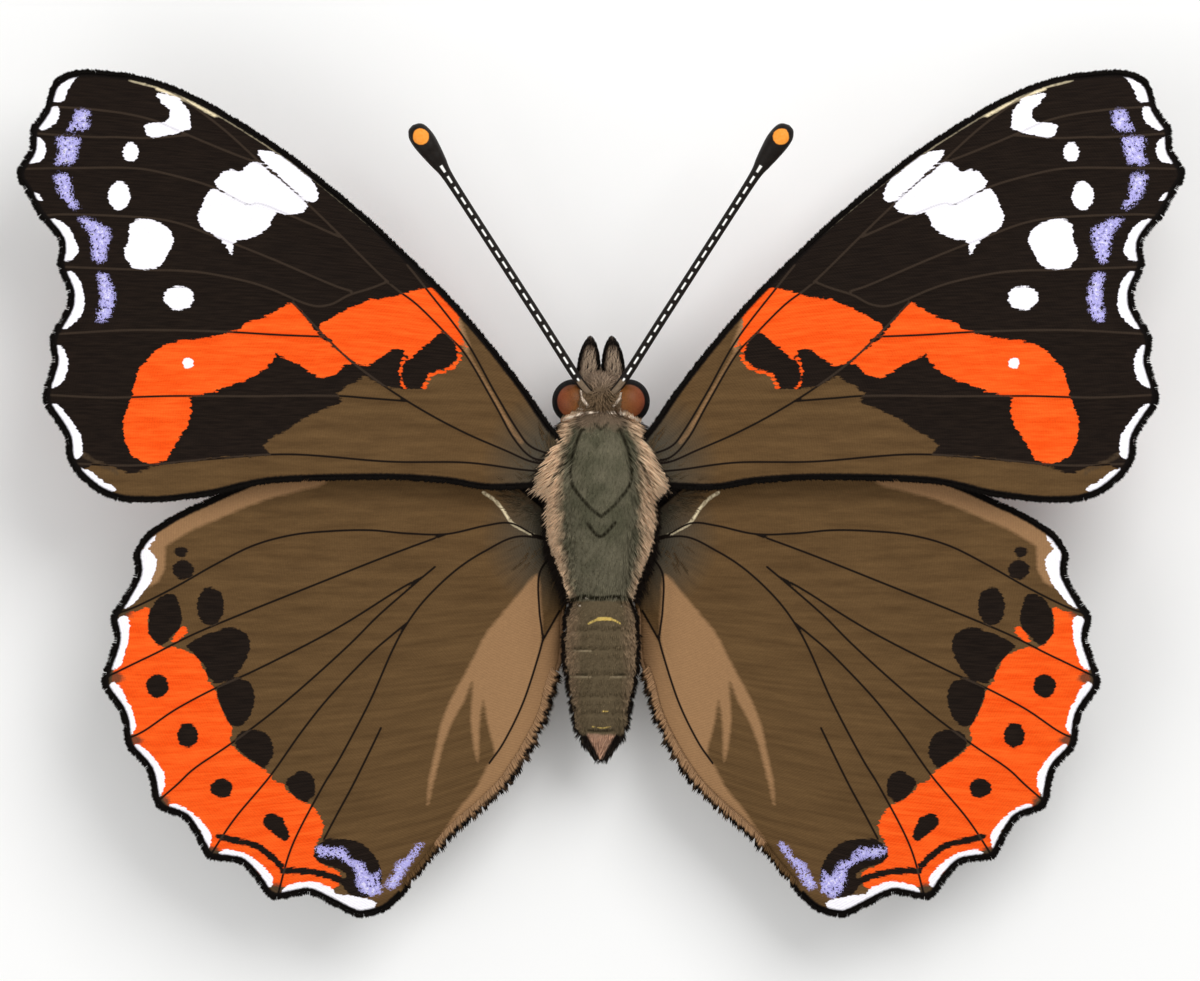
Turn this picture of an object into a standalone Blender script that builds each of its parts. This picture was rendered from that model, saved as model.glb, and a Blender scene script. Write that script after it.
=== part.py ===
"""Red admiral butterfly at life size, standing on its four walking legs with the wings spread flat.

Metres, +Z up. The head faces -Y and the butterfly's left side is at +X. It stands on the floor z = 0,
and the origin is on the floor under the middle of the whole. Lengths are written in millimetres of a
butterfly of the natural wingspan, times MM, so that WINGSPAN alone sets the size of everything.
"""

import math
import random

import bmesh
import bpy
from mathutils import Matrix, Vector
from mathutils.geometry import delaunay_2d_cdt, intersect_point_line

# Driving dimensions
WINGSPAN = 0.0603
NATURAL_WINGSPAN_IN_MM = 60.3
MM = WINGSPAN / NATURAL_WINGSPAN_IN_MM
GAP = 0.3 * MM
SEED = 11

# Wings
WING_THICKNESS = 0.5 * MM
VEIN_HEIGHT = 0.14 * MM
VEIN_HALF_WIDTH = 0.3 * MM
VEIN_TAPER = 0.55
FOREWING_ROOT_Z = 6.45 * MM
HINDWING_ROOT_Z = 5.25 * MM
WING_ROOT_X = 2.6 * MM
WING_TIP_X = 30.15 * MM
WING_RISE = 2.0 * MM
OVERLAP_Y = -0.5 * MM
FOREWING_PITCH = 0.03
FOREWING_CAMBER = 2.8 / (1000 * MM)
HINDWING_PITCH = 0.02
HINDWING_CAMBER = 2.0 / (1000 * MM)
GUTTER_X = 4.5 * MM
GUTTER_CURVE = 150 / (1000 * MM)
MARGIN_STEP = 0.62 * MM
EDGE_STEP = 1.9 * MM
VEIN_STEP = 1.5 * MM
FILL_STEP = 3.0 * MM
NEAREST_POINTS = 0.24 * MM
SNAP = 0.6 * MM
FRINGE_STEP = 0.5 * MM
FRINGE_TOOTH = (0.12 * MM, 0.38 * MM)

# Outlines seen from above, as (x outwards, y towards the tail) in millimetres.
# The forewing's front edge runs from root to tip, its outer edge from tip to hind corner, with a lobe
# at each vein's end and a hollow between lobes, and its hind edge back to the root.
FOREWING_FRONT = [
    (1.5, -2.3), (2.63, -3.67), (4.0, -5.6), (6.0, -8.3), (9.0, -11.5), (12.0, -14.43), (15.0, -16.85),
    (18.0, -18.9), (21.0, -20.62), (24.0, -21.67), (26.4, -21.94),
]
FOREWING_OUTER = [
    (26.4, -21.94), (27.75, -21.75), (28.46, -21.08), (28.73, -20.1), (29.33, -19.17), (29.53, -18.65),
    (29.5, -17.95), (29.83, -17.2), (30.15, -16.6), (29.79, -15.58), (29.0, -14.17), (28.13, -13.17),
    (27.99, -12.5), (28.1, -11.8), (27.63, -10.58), (27.67, -9.58), (28.29, -8.42), (28.47, -7.9),
    (28.4, -6.9), (28.57, -6.0), (28.79, -5.05), (28.63, -4.33), (27.88, -3.25), (27.61, -2.4),
    (27.5, -1.7), (26.83, -0.67), (25.75, 0.08), (24.17, 0.52),
]
FOREWING_HIND = [
    (24.17, 0.52), (22.2, 0.48), (20.5, 0.25), (18.5, -0.2), (15.0, -0.5), (10.0, -0.6), (7.0, -0.35),
    (4.5, -0.2), (2.4, -0.35), (1.5, -1.0),
]
HINDWING_FRONT = [
    (1.4, 1.9), (2.9, 0.4), (5.0, -1.2), (8.0, -2.3), (11.5, -2.6), (15.0, -1.9), (18.5, -0.6),
    (21.0, 0.67), (22.75, 1.54), (23.67, 2.21), (24.2, 3.08),
]
HINDWING_OUTER = [
    (24.2, 3.08), (24.1, 3.9), (24.42, 4.83), (25.17, 6.0), (25.38, 6.5), (25.23, 7.4), (25.42, 8.25),
    (25.83, 9.4), (25.85, 9.85), (25.33, 10.83), (24.83, 11.83), (24.68, 12.9), (24.08, 13.67),
    (23.42, 14.67), (23.21, 15.83), (22.6, 16.45), (21.58, 16.88), (20.92, 17.83), (20.42, 18.79),
    (19.6, 19.07), (18.6, 19.35), (17.92, 20.0), (17.33, 20.88), (16.83, 21.08), (15.9, 20.92),
    (15.17, 20.86), (14.2, 21.25), (13.5, 21.63), (12.25, 22.0), (11.0, 21.58), (10.17, 20.75),
]
HINDWING_INNER = [
    (10.17, 20.75), (9.15, 19.45), (8.0, 17.95), (6.3, 16.35), (4.75, 14.75), (3.75, 13.2), (2.9, 11.5),
    (2.55, 10.0), (2.4, 8.3), (2.38, 6.4),
]
HINDWING_ROOT = [(2.38, 6.4), (2.1, 5.3), (1.3, 4.3)]

# The main veins, each from its root or fork to its end.
FOREWING_VEINS = [
    [(2.5, -1.9), (4.1, -3.0), (5.4, -5.0), (7.0, -7.7), (8.3, -9.7), (9.6, -12.05)],
    [(2.5, -1.7), (4.6, -3.0), (6.3, -6.0), (8.2, -8.6), (10.1, -10.4), (13.4, -13.3), (15.3, -15.05),
     (17.6, -17.15), (19.6, -18.7), (22.0, -20.3), (24.0, -21.67)],
    [(16.6, -16.25), (18.6, -17.3), (21.3, -18.55), (25.0, -19.65), (28.73, -20.1)],
    [(21.3, -18.55), (25.2, -18.5), (29.53, -18.65)],
    [(13.4, -13.3), (16.3, -14.4), (19.9, -15.8), (22.5, -16.55), (26.0, -16.75), (30.15, -16.6)],
    [(13.0, -10.25), (16.0, -11.6), (20.8, -13.6), (24.0, -14.25), (29.0, -14.17)],
    [(11.2, -11.3), (13.0, -10.25), (14.6, -9.65), (16.0, -10.0), (18.5, -11.0), (22.0, -11.55),
     (28.1, -11.8)],
    [(2.5, -1.55), (5.5, -2.4), (8.5, -3.9), (10.0, -4.8), (12.0, -6.2), (14.4, -8.15), (16.0, -10.0)],
    [(14.4, -8.15), (18.0, -8.25), (22.0, -8.42), (28.47, -7.9)],
    [(10.0, -4.8), (13.0, -5.02), (20.0, -5.0), (28.79, -5.05)],
    [(2.5, -1.2), (6.0, -1.5), (12.0, -1.7), (16.5, -1.97), (22.0, -1.6), (27.5, -1.7)],
]
HINDWING_VEINS = [
    [(2.5, 2.4), (3.8, 2.0), (4.8, 1.3), (6.0, 0.0), (8.5, -1.0), (12.0, -1.1), (16.0, -0.1), (20.0, 1.5),
     (24.2, 3.08)],
    [(3.8, 2.0), (5.5, 1.55), (8.4, 2.15), (11.0, 1.95), (14.0, 1.92), (17.0, 2.35), (20.0, 3.7),
     (23.0, 5.4), (25.38, 6.5)],
    [(8.4, 2.15), (12.0, 3.6), (16.0, 5.2), (20.0, 6.75), (24.0, 8.7), (25.85, 9.85)],
    [(8.0, 3.0), (9.3, 4.3), (12.0, 5.9), (16.0, 8.3), (20.0, 10.1), (24.68, 12.9)],
    [(9.3, 4.3), (12.5, 7.3), (15.5, 10.1), (19.2, 12.9), (23.21, 15.83)],
    [(10.4, 7.1), (13.5, 9.9), (17.08, 14.58), (20.42, 18.79)],
    [(2.5, 2.5), (4.4, 2.25), (7.0, 3.6), (9.0, 5.3), (10.4, 7.1), (12.0, 10.7), (14.0, 14.75),
     (15.9, 18.3), (16.83, 21.08)],
    [(2.6, 3.2), (6.0, 5.6), (9.0, 8.7), (11.4, 12.2), (13.0, 15.2), (14.45, 18.3), (14.2, 21.25)],
    [(2.6, 3.8), (3.25, 5.0), (3.1, 7.3), (3.7, 10.0), (4.9, 12.7), (6.6, 15.3)],
]

# Body sections from front to back, in millimetres: y, half width, z of the top, of the widest place and
# of the underside.
HEAD_SECTIONS = [
    (-6.25, 0.35, 5.0, 4.7, 4.4), (-6.1, 0.72, 5.5, 4.8, 4.1), (-5.8, 1.0, 5.95, 4.95, 3.85),
    (-5.3, 1.2, 6.25, 5.05, 3.75), (-4.8, 1.28, 6.35, 5.1, 3.8), (-4.35, 1.22, 6.2, 5.1, 3.95),
]
THORAX_SECTIONS = [
    (-4.05, 1.35, 6.35, 5.1, 4.0), (-3.6, 1.85, 6.95, 5.2, 3.4), (-2.9, 2.25, 7.55, 5.3, 2.8),
    (-1.9, 2.5, 7.95, 5.3, 2.45), (-0.6, 2.7, 8.2, 5.3, 2.25), (0.8, 2.72, 8.2, 5.3, 2.2),
    (2.2, 2.55, 7.95, 5.2, 2.35), (3.4, 2.3, 7.5, 5.1, 2.65), (4.5, 2.0, 6.95, 5.0, 3.0),
    (5.35, 1.75, 6.45, 4.9, 3.35),
]
ABDOMEN_SECTIONS = [
    (5.65, 1.6, 6.35, 4.85, 3.45), (6.3, 1.86, 6.55, 4.8, 3.15), (7.2, 1.95, 6.5, 4.75, 3.0),
    (8.1, 1.97, 6.4, 4.7, 2.95), (9.0, 1.9, 6.2, 4.6, 2.95), (9.9, 1.75, 5.95, 4.5, 3.0),
    (10.8, 1.58, 5.7, 4.4, 3.1), (11.7, 1.45, 5.5, 4.35, 3.2), (12.4, 1.25, 5.25, 4.3, 3.35),
    (13.0, 0.85, 4.95, 4.25, 3.6), (13.5, 0.5, 4.65, 4.2, 3.85),
]
SECTION_STEP = 0.55 * MM
SIDES_OF_BODY = 22
ABDOMEN_RINGS = [7.05, 8.05, 9.35, 10.55, 11.5, 12.35]
RING_DEPTH = 0.09 * MM
RING_LENGTH = 0.14 * MM
TEGULA_CENTRE = (1.85, -1.75, 7.42)
TEGULA_SIZE = (0.75, 1.35, 0.42)

# Head
EYE_CENTRE = (1.42, -4.78, 5.15)
EYE_RADII = (1.12, 1.15, 1.3)
PALP_LINE = [
    (0.72, -5.2, 4.15), (0.7, -5.85, 4.2), (0.66, -6.5, 4.4), (0.61, -7.2, 4.75), (0.57, -7.75, 5.15),
    (0.55, -8.15, 5.5),
]
PALP_WIDTHS = [0.36, 0.44, 0.46, 0.39, 0.26, 0.06]
PALP_FLATNESS = 1.25
ANTENNA_LINE = [
    (0.62, -5.2, 6.0), (1.25, -6.0, 6.25), (3.0, -8.75, 6.85), (5.0, -11.85, 7.5), (7.0, -14.95, 8.1),
    (8.35, -17.05, 8.5), (8.95, -17.95, 8.65), (9.45, -18.6, 8.72), (9.68, -18.88, 8.75),
]
ANTENNA_WIDTHS = [0.27, 0.25, 0.25, 0.25, 0.25, 0.27, 0.47, 0.46, 0.2]
ANTENNA_STEP = 0.95 * MM
PROBOSCIS_CENTRE = (-5.85, 2.42)
PROBOSCIS_RADIUS = (0.4, 0.85)
PROBOSCIS_TURN = (-205, 85)
PROBOSCIS_ROOT = (-5.15, 3.6)
PROBOSCIS_WIDTH = 0.25 * MM
PROBOSCIS_POINTS = 15

# Legs: the joints of each from the thorax to the claw, and the half widths there.
FOOT_CENTRE_Z = 0.21
MIDDLE_LEG = [
    (1.2, -0.7, 2.9), (4.9, -2.5, 3.9), (7.4, -4.4, 0.75), (8.1, -5.1, FOOT_CENTRE_Z),
    (10.0, -7.4, FOOT_CENTRE_Z),
]
HIND_LEG = [
    (1.1, 2.3, 2.9), (4.4, 4.6, 3.6), (6.3, 8.0, 0.75), (6.7, 8.9, FOOT_CENTRE_Z),
    (7.9, 11.8, FOOT_CENTRE_Z),
]
FORELEG = [(0.75, -2.7, 3.1), (1.15, -4.3, 2.35), (0.95, -5.6, 2.75)]
FEMUR_WIDTHS = (0.4, 0.36, 0.27)
TIBIA_WIDTHS = (0.26, 0.27, 0.27)
TARSUS_WIDTHS = (0.26, 0.26, 0.26, 0.13)
FORELEG_WIDTHS = (0.3, 0.33, 0.36, 0.3, 0.16)
LIMB_SMOOTHNESS = 2

# Locks of hair: width, thickness and how many rings each has.
LOCK_WIDTH = 0.72 * MM
LOCK_THICKNESS = 0.5 * MM
LOCK_TAPER = ((0.0, 1.0), (0.45, 0.82), (0.8, 0.42))
LOCK_ROOT_DEPTH = 0.5 * MM
LOCK_CLEARANCE = GAP + 0.12 * MM

COLOURS = {
    "wing_brown": (0.12, 0.065, 0.03),
    "body_hair": (0.24, 0.18, 0.12),
    "abdomen_hair": (0.13, 0.1, 0.055),
    "eye_brown": (0.19, 0.07, 0.03),
    "antenna_dark": (0.02, 0.015, 0.012),
    "leg_brown": (0.2, 0.13, 0.07),
}

BACK = Vector((0, 1, 0))
UP = Vector((0, 0, 1))


def clear_scene():
    for item in list(bpy.data.objects):
        bpy.data.objects.remove(item)


def new_collection(name, hidden=False):
    collection = bpy.data.collections.new(name)
    bpy.context.scene.collection.children.link(collection)
    collection.hide_render = hidden
    return collection


def finish(name):
    """The plain material of a part."""
    material = bpy.data.materials.new(name)
    material.use_nodes = True
    shader = material.node_tree.nodes["Principled BSDF"]
    shader.inputs["Base Color"].default_value = (*COLOURS[name], 1)
    shader.inputs["Roughness"].default_value = 0.3 if name == "eye_brown" else 0.8
    shader.inputs["Metallic"].default_value = 0
    material.diffuse_color = (*COLOURS[name], 1)
    return material


def to_metres(point):
    return Vector(point) * MM


def mirrored(point, side):
    return Vector((point[0] * side, *point[1:]))


def smooth_line(points, step):
    """A curve through the points, sampled about step apart, with every point kept (centripetal Catmull-Rom)."""
    ends = [2 * points[0] - points[1], *points, 2 * points[-1] - points[-2]]
    line = []
    for before, start, stop, after in zip(ends, ends[1:], ends[2:], ends[3:]):
        knots = [0.0]
        for a, b in ((before, start), (start, stop), (stop, after)):
            knots.append(knots[-1] + math.sqrt((b - a).length))
        count = max(1, round((stop - start).length / step))
        for i in range(count):
            t = knots[1] + (knots[2] - knots[1]) * i / count
            level = [before, start, stop, after]
            for reach in (1, 2, 3):
                shift = 1 if reach == 3 else 0
                level = [
                    blend(level[j], level[j + 1], knots, j + shift, reach - shift, t)
                    for j in range(len(level) - 1)
                ]
            line.append(level[0])
    line.append(points[-1].copy())
    return line


def blend(a, b, knots, first, reach, t):
    """Goes from a to b as t goes from one knot to the knot reach further on."""
    low, high = knots[first], knots[first + reach]
    share = (t - low) / (high - low)
    return a + (b - a) * share


def wing_lift(x):
    """How far both wings have risen at this distance from the middle: steep at the root, level at the tip."""
    share = max(0.0, (abs(x) - WING_ROOT_X) / (WING_TIP_X - WING_ROOT_X))
    return WING_RISE * share * (2 - share)


def forewing_z(x, y):
    ahead = OVERLAP_Y - y
    return FOREWING_ROOT_Z + wing_lift(x) + FOREWING_PITCH * ahead - FOREWING_CAMBER * ahead * ahead


def hindwing_z(x, y):
    behind = y - OVERLAP_Y
    gutter = max(0.0, GUTTER_X - abs(x))
    droop = HINDWING_PITCH * behind + HINDWING_CAMBER * behind * abs(behind)
    return HINDWING_ROOT_Z + wing_lift(x) - droop - GUTTER_CURVE * gutter * gutter


def fringed(line, rng):
    """The inner edge of a hindwing with its hair fringe as teeth that point outwards and to the tail."""
    toothed = [line[0]]
    for before, here, after in zip(line, line[1:], line[2:]):
        along = (after - before).normalized()
        outwards = Vector((along.y, -along.x))
        if len(toothed) % 2:
            here = here + (outwards - 0.8 * along).normalized() * rng.uniform(*FRINGE_TOOTH)
        toothed.append(here)
    return [*toothed, line[-1]]


def closed_outline(lines):
    """Joins lines that start where the one before ends, and drops the repeated points."""
    return [point for line in lines for point in line[:-1]] + [lines[-1][-1]]


def nearest(points, point):
    return min(range(len(points)), key=lambda i: (points[i] - point).length_squared)


def vein_weight(point, veins):
    """1 on a vein's crest at its root, falling to 0 at its foot, and less towards the vein's end."""
    best = 0.0
    for line, total in veins:
        walked = 0.0
        for start, stop in zip(line, line[1:]):
            length = (stop - start).length
            foot, share = intersect_point_line(point, start, stop)
            share = min(1.0, max(0.0, share))
            distance = (start.lerp(stop, share) - point).length
            if distance < VEIN_HALF_WIDTH:
                fading = 1 - VEIN_TAPER * (walked + share * length) / total
                best = max(best, fading * (1 - distance / VEIN_HALF_WIDTH))
            walked += length
    return best


def inside(point, outline):
    """True where the point is inside the closed outline."""
    odd = False
    for a, b in zip(outline, outline[1:] + outline[:1]):
        if (a.y > point.y) != (b.y > point.y):
            if point.x < a.x + (b.x - a.x) * (point.y - a.y) / (b.y - a.y):
                odd = not odd
    return odd


def wing_points(outline, vein_lines):
    """The points of a wing's sheet and the edges that follow its outline and the crests of its veins."""
    points = list(outline)
    count = len(outline)
    edges = [(i, (i + 1) % count) for i in range(count)]
    for line in vein_lines:
        before = None
        for point in line:
            here = nearest(points, point)
            close = (points[here] - point).length
            if close > (SNAP if point in (line[0], line[-1]) else NEAREST_POINTS):
                if not inside(point, outline):
                    continue
                points.append(point)
                here = len(points) - 1
            if before is not None and before != here:
                edges.append((before, here))
            before = here
    feet = []
    for line in vein_lines:
        for before, here, after in zip(line, line[1:], line[2:]):
            along = (after - before).normalized() * VEIN_HALF_WIDTH
            feet += [here + Vector((-along.y, along.x)), here - Vector((-along.y, along.x))]
    low_x, high_x = min(p.x for p in outline), max(p.x for p in outline)
    low_y, high_y = min(p.y for p in outline), max(p.y for p in outline)
    columns, rows = int((high_x - low_x) / FILL_STEP) + 1, int((high_y - low_y) / FILL_STEP) + 1
    fill = [
        Vector((low_x + (i + 0.5 * (j % 2)) * FILL_STEP, low_y + j * FILL_STEP))
        for i in range(columns)
        for j in range(rows)
    ]
    for extra, apart in ((feet, NEAREST_POINTS), (fill, 3.5 * NEAREST_POINTS)):
        for point in extra:
            if (points[nearest(points, point)] - point).length > apart and inside(point, outline):
                points.append(point)
    return points, edges


def make_wing(name, side, outline, vein_routes, front_edge, height, material, nodes):
    """A wing as one curved sheet with its veins raised in both faces, thick enough to stand as a solid."""
    vein_lines = [smooth_line([to_metres(p) for p in route], VEIN_STEP) for route in vein_routes]
    points, edges = wing_points(outline, vein_lines)
    sheet = delaunay_2d_cdt(points, edges, [list(range(len(outline)))], 1, 0.001 * MM)
    veins = [
        (line, sum((b - a).length for a, b in zip(line, line[1:]))) for line in [*vein_lines, front_edge]
    ]
    bm = bmesh.new()
    verts = [bm.verts.new((p.x * side, p.y, height(p.x, p.y))) for p in sheet[0]]
    for corners in sheet[2]:
        bm.faces.new([verts[i] for i in (corners if side > 0 else reversed(corners))])
    bm.normal_update()
    wing = add_node(name, bm, material, nodes)
    group = wing.vertex_groups.new(name="thickness")
    thickest = WING_THICKNESS + 2 * VEIN_HEIGHT
    for i, point in enumerate(sheet[0]):
        weight = (WING_THICKNESS + 2 * VEIN_HEIGHT * vein_weight(point, veins)) / thickest
        group.add([i], weight, "REPLACE")
    solid = wing.modifiers.new("thickness", "SOLIDIFY")
    solid.thickness = thickest
    solid.offset = 0
    solid.vertex_group = group.name
    return wing


def add_node(name, bm, material, nodes, smooth=True):
    """Makes an object of the mesh, closed and facing out, in the collection of parts."""
    mesh = bpy.data.meshes.new(name)
    bm.to_mesh(mesh)
    bm.free()
    item = bpy.data.objects.new(name, mesh)
    nodes.objects.link(item)
    if material:
        mesh.materials.append(material)
    if smooth:
        mesh.shade_smooth()
        mesh.set_sharp_from_angle(angle=math.radians(40))
    return item


def loft(rings, tip=None, tail=None):
    """A closed mesh over rings of equally many points, each end closed by a point, or by a flat face."""
    bm = bmesh.new()
    loops = [[bm.verts.new(p) for p in ring] for ring in rings]
    for first, second in zip(loops, loops[1:]):
        for i in range(len(first)):
            j = (i + 1) % len(first)
            bm.faces.new((first[i], first[j], second[j], second[i]))
    for loop, point in ((loops[0], tail), (loops[-1], tip)):
        if point is None:
            bm.faces.new(loop)
            continue
        end = bm.verts.new(point)
        for i in range(len(loop)):
            bm.faces.new((loop[i], loop[(i + 1) % len(loop)], end))
    bmesh.ops.recalc_face_normals(bm, faces=bm.faces)
    return bm


def sections_at_steps(sections, step):
    """The sections with more between them, on a smooth line through each of their sizes."""
    ys = [to_metres((s[0], s[1])) for s in sections]
    stations = []
    for i in range(len(ys) - 1):
        count = max(1, round((ys[i + 1].x - ys[i].x) / step))
        stations += [i + k / count for k in range(count)]
    stations.append(len(sections) - 1)
    return [section_at(sections, station) for station in stations]


def section_at(sections, station):
    """A section's five sizes at a fractional place in the list, eased between its neighbours."""
    last = len(sections) - 1
    i = min(int(station), last - 1)
    share = station - i
    rows = [sections[max(0, i - 1)], sections[i], sections[i + 1], sections[min(last, i + 2)]]
    sizes = []
    for a, b, c, d in zip(*rows):
        slopes = (c - a) / 2, (d - b) / 2
        cube, square = share ** 3, share ** 2
        sizes.append(
            (2 * cube - 3 * square + 1) * b + (cube - 2 * square + share) * slopes[0]
            + (3 * square - 2 * cube) * c + (cube - square) * slopes[1]
        )
    return sizes


def section_point(section, angle, grow=0.0):
    """The point of a section at this angle: 0 is the left side (+X), 90 degrees the back, -90 the belly."""
    y, half_width, top, middle, bottom = (size * MM for size in section)
    high = (top - middle if math.sin(angle) > 0 else middle - bottom) + grow
    return Vector(((half_width + grow) * math.cos(angle), y, middle + high * math.sin(angle)))


def body_form(sections, grow=0.0, tapered=False):
    """A body part through its sections, or the same shape grown by a clearance on every side."""
    fine = sections_at_steps(sections, SECTION_STEP)
    rings = []
    for section in fine:
        angles = [2 * math.pi * i / SIDES_OF_BODY for i in range(SIDES_OF_BODY)]
        rings.append([section_point(section, angle, grow) for angle in angles])
    if grow:
        rings = [[p - BACK * grow for p in rings[0]], *rings, [p + BACK * grow for p in rings[-1]]]
    tip = None
    if tapered:
        last = sections[-1]
        tip = to_metres((0, last[0], last[3])) + BACK * (0.4 * MM + grow)
    return loft(rings, tip=tip)


def surface_at(sections, y, angle):
    """The point on a body part at this y and angle, and the direction that faces away from it there."""
    ys = [section[0] * MM for section in sections]
    i = max(0, min(len(ys) - 2, sum(1 for value in ys if value <= y) - 1))
    station = i + (y - ys[i]) / (ys[i + 1] - ys[i])
    here = section_point(section_at(sections, station), angle)
    small = 0.02
    around = section_point(section_at(sections, station), angle + small) - here
    along = section_point(section_at(sections, station + small), angle) - here
    facing = along.cross(around).normalized()
    middle = Vector((0, y, section_at(sections, station)[3] * MM))
    return here, facing if facing.dot(here - middle) > 0 else -facing


def lock_mesh(root, facing, direction, length, bend, clear_of=None):
    """A flat tapered lock that starts inside the skin, leans the way the coat lies and bends towards it."""
    flow = (direction - facing * direction.dot(facing)).normalized()
    start = (flow * math.cos(bend[0]) + facing * math.sin(bend[0])).normalized()
    stop = (flow * math.cos(bend[1]) + facing * math.sin(bend[1])).normalized()
    spots = []
    for share in (*(part for part, _ in LOCK_TAPER), 1.0):
        way = start.lerp(stop, share / 2)
        spot = root - start * LOCK_ROOT_DEPTH + way * (length + LOCK_ROOT_DEPTH) * share
        if clear_of:
            spot.z = max(spot.z, clear_of(spot) if share > 0.4 else spot.z)
        spots.append(spot)
    rings = []
    for (share, size), spot, after in zip(LOCK_TAPER, spots, spots[1:]):
        way = (after - spot).normalized()
        across = way.cross(facing).normalized()
        normal = across.cross(way).normalized()
        wide, thick = across * LOCK_WIDTH / 2 * size, normal * LOCK_THICKNESS / 2 * size
        rings.append([spot + wide, spot + thick, spot - wide, spot - thick])
    return loft(rings, tip=spots[-1])


def above_wings(spot):
    """The lowest height that a lock's middle may have here, so that it stays clear over the wing roots."""
    if abs(spot.x) < WING_ROOT_X - 0.3 * MM:
        return spot.z
    surface = forewing_z(spot.x, spot.y) if spot.y < 0.4 * MM else hindwing_z(spot.x, spot.y)
    return surface + WING_THICKNESS / 2 + VEIN_HEIGHT + LOCK_CLEARANCE + LOCK_THICKNESS / 4


def coat(sections, rows, rng, sides=(1, -1)):
    """The locks of a body part, row by row, each row along one angle and varied as hair is."""
    locks = []
    for row in rows:
        for side in sides if row["angle"] != 90 else (1,):
            for i in range(row["count"]):
                share = (i + 0.5) / row["count"]
                y = (row["from"] + (row["to"] - row["from"]) * share) * MM + rng.uniform(-0.12, 0.12) * MM
                angle = math.radians(row["angle"] + row.get("spread", 0) * share + rng.uniform(-4, 4))
                root, facing = surface_at(sections, y, angle)
                direction = Vector(row["lie"]) + Vector((rng.uniform(-0.15, 0.15), 0, 0))
                length = row["length"] * MM * rng.uniform(0.85, 1.12)
                root, facing, direction = (mirrored(v, side) for v in (root, facing, direction))
                bend = tuple(math.radians(a) for a in row["bend"])
                locks.append(lock_mesh(root, facing, direction, length, bend, row.get("clear")))
    return locks


def join_pieces(base, pieces):
    """Joins closed meshes into one solid and keeps its largest closed surface."""
    collection = new_collection("pieces")
    for i, bm in enumerate(pieces):
        add_node(f"piece_{i}", bm, None, collection, smooth=False)
    union = base.modifiers.new("union", "BOOLEAN")
    union.operand_type = "COLLECTION"
    union.operation = "UNION"
    union.collection = collection
    apply_modifiers(base)
    for item in list(collection.objects):
        bpy.data.objects.remove(item)
    bpy.data.collections.remove(collection)
    keep_largest(base)


def apply_modifiers(item):
    """Replaces the object's mesh by its evaluated one."""
    graph = bpy.context.evaluated_depsgraph_get()
    made = bpy.data.meshes.new_from_object(item.evaluated_get(graph))
    item.modifiers.clear()
    item.data = made


def keep_largest(item):
    """Leaves only the closed surface that spans the most, without sealed hollows and loose scraps."""
    bm = bmesh.new()
    bm.from_mesh(item.data)
    bmesh.ops.remove_doubles(bm, verts=bm.verts, dist=0.0005 * MM)
    bmesh.ops.dissolve_degenerate(bm, edges=bm.edges, dist=0.0005 * MM)
    left = set(bm.verts)
    shells = []
    while left:
        shell, todo = set(), [left.pop()]
        while todo:
            vert = todo.pop()
            shell.add(vert)
            for edge in vert.link_edges:
                other = edge.other_vert(vert)
                if other in left:
                    left.remove(other)
                    todo.append(other)
        shells.append(shell)
    widest = max(shells, key=lambda shell: span_of([v.co for v in shell]))
    bmesh.ops.delete(bm, geom=[v for shell in shells if shell is not widest for v in shell])
    bm.to_mesh(item.data)
    bm.free()


def span_of(points):
    return sum(max(p[i] for p in points) - min(p[i] for p in points) for i in range(3))


def cut_by(item, bm, cutters):
    """Takes a shape out of a part."""
    cutter = add_node(f"clearance_{item.name}_{len(item.modifiers)}", bm, None, cutters, smooth=False)
    cutter.hide_render = True
    cutter.display_type = "WIRE"
    cut = item.modifiers.new("clearance", "BOOLEAN")
    cut.operation = "DIFFERENCE"
    cut.object = cutter


def ellipsoid(centre, radii, grow=0.0, around=16, along=10):
    bm = bmesh.new()
    bmesh.ops.create_uvsphere(bm, u_segments=around, v_segments=along, radius=1)
    bmesh.ops.scale(bm, verts=bm.verts, vec=Vector(radii) + Vector((grow, grow, grow)))
    bmesh.ops.translate(bm, verts=bm.verts, vec=centre)
    return bm


def tube(points, half_widths, flatness=1.0):
    """A round tube along the points with a half width at each, as a closed mesh."""
    curve = bpy.data.curves.new("tube", "CURVE")
    curve.dimensions = "3D"
    curve.bevel_depth = 1.0
    curve.bevel_resolution = LIMB_SMOOTHNESS
    curve.use_fill_caps = True
    spline = curve.splines.new("POLY")
    spline.points.add(len(points) - 1)
    for knot, point, half_width in zip(spline.points, points, half_widths):
        knot.co = (*point, 1)
        knot.radius = half_width
    item = bpy.data.objects.new("tube", curve)
    bpy.context.scene.collection.objects.link(item)
    bpy.context.view_layer.update()
    graph = bpy.context.evaluated_depsgraph_get()
    mesh = bpy.data.meshes.new_from_object(item.evaluated_get(graph))
    bpy.data.objects.remove(item)
    bm = bmesh.new()
    bm.from_mesh(mesh)
    bpy.data.meshes.remove(mesh)
    bmesh.ops.remove_doubles(bm, verts=bm.verts, dist=0.001 * MM)
    if flatness != 1:
        middle = sum((p.z for p in points), 0.0) / len(points)
        centres = list(points)
        for vert in bm.verts:
            spine = centres[nearest(centres, vert.co)]
            vert.co.z = spine.z + (vert.co.z - spine.z) * flatness if centres else middle
    bmesh.ops.recalc_face_normals(bm, faces=bm.faces)
    return bm


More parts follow.
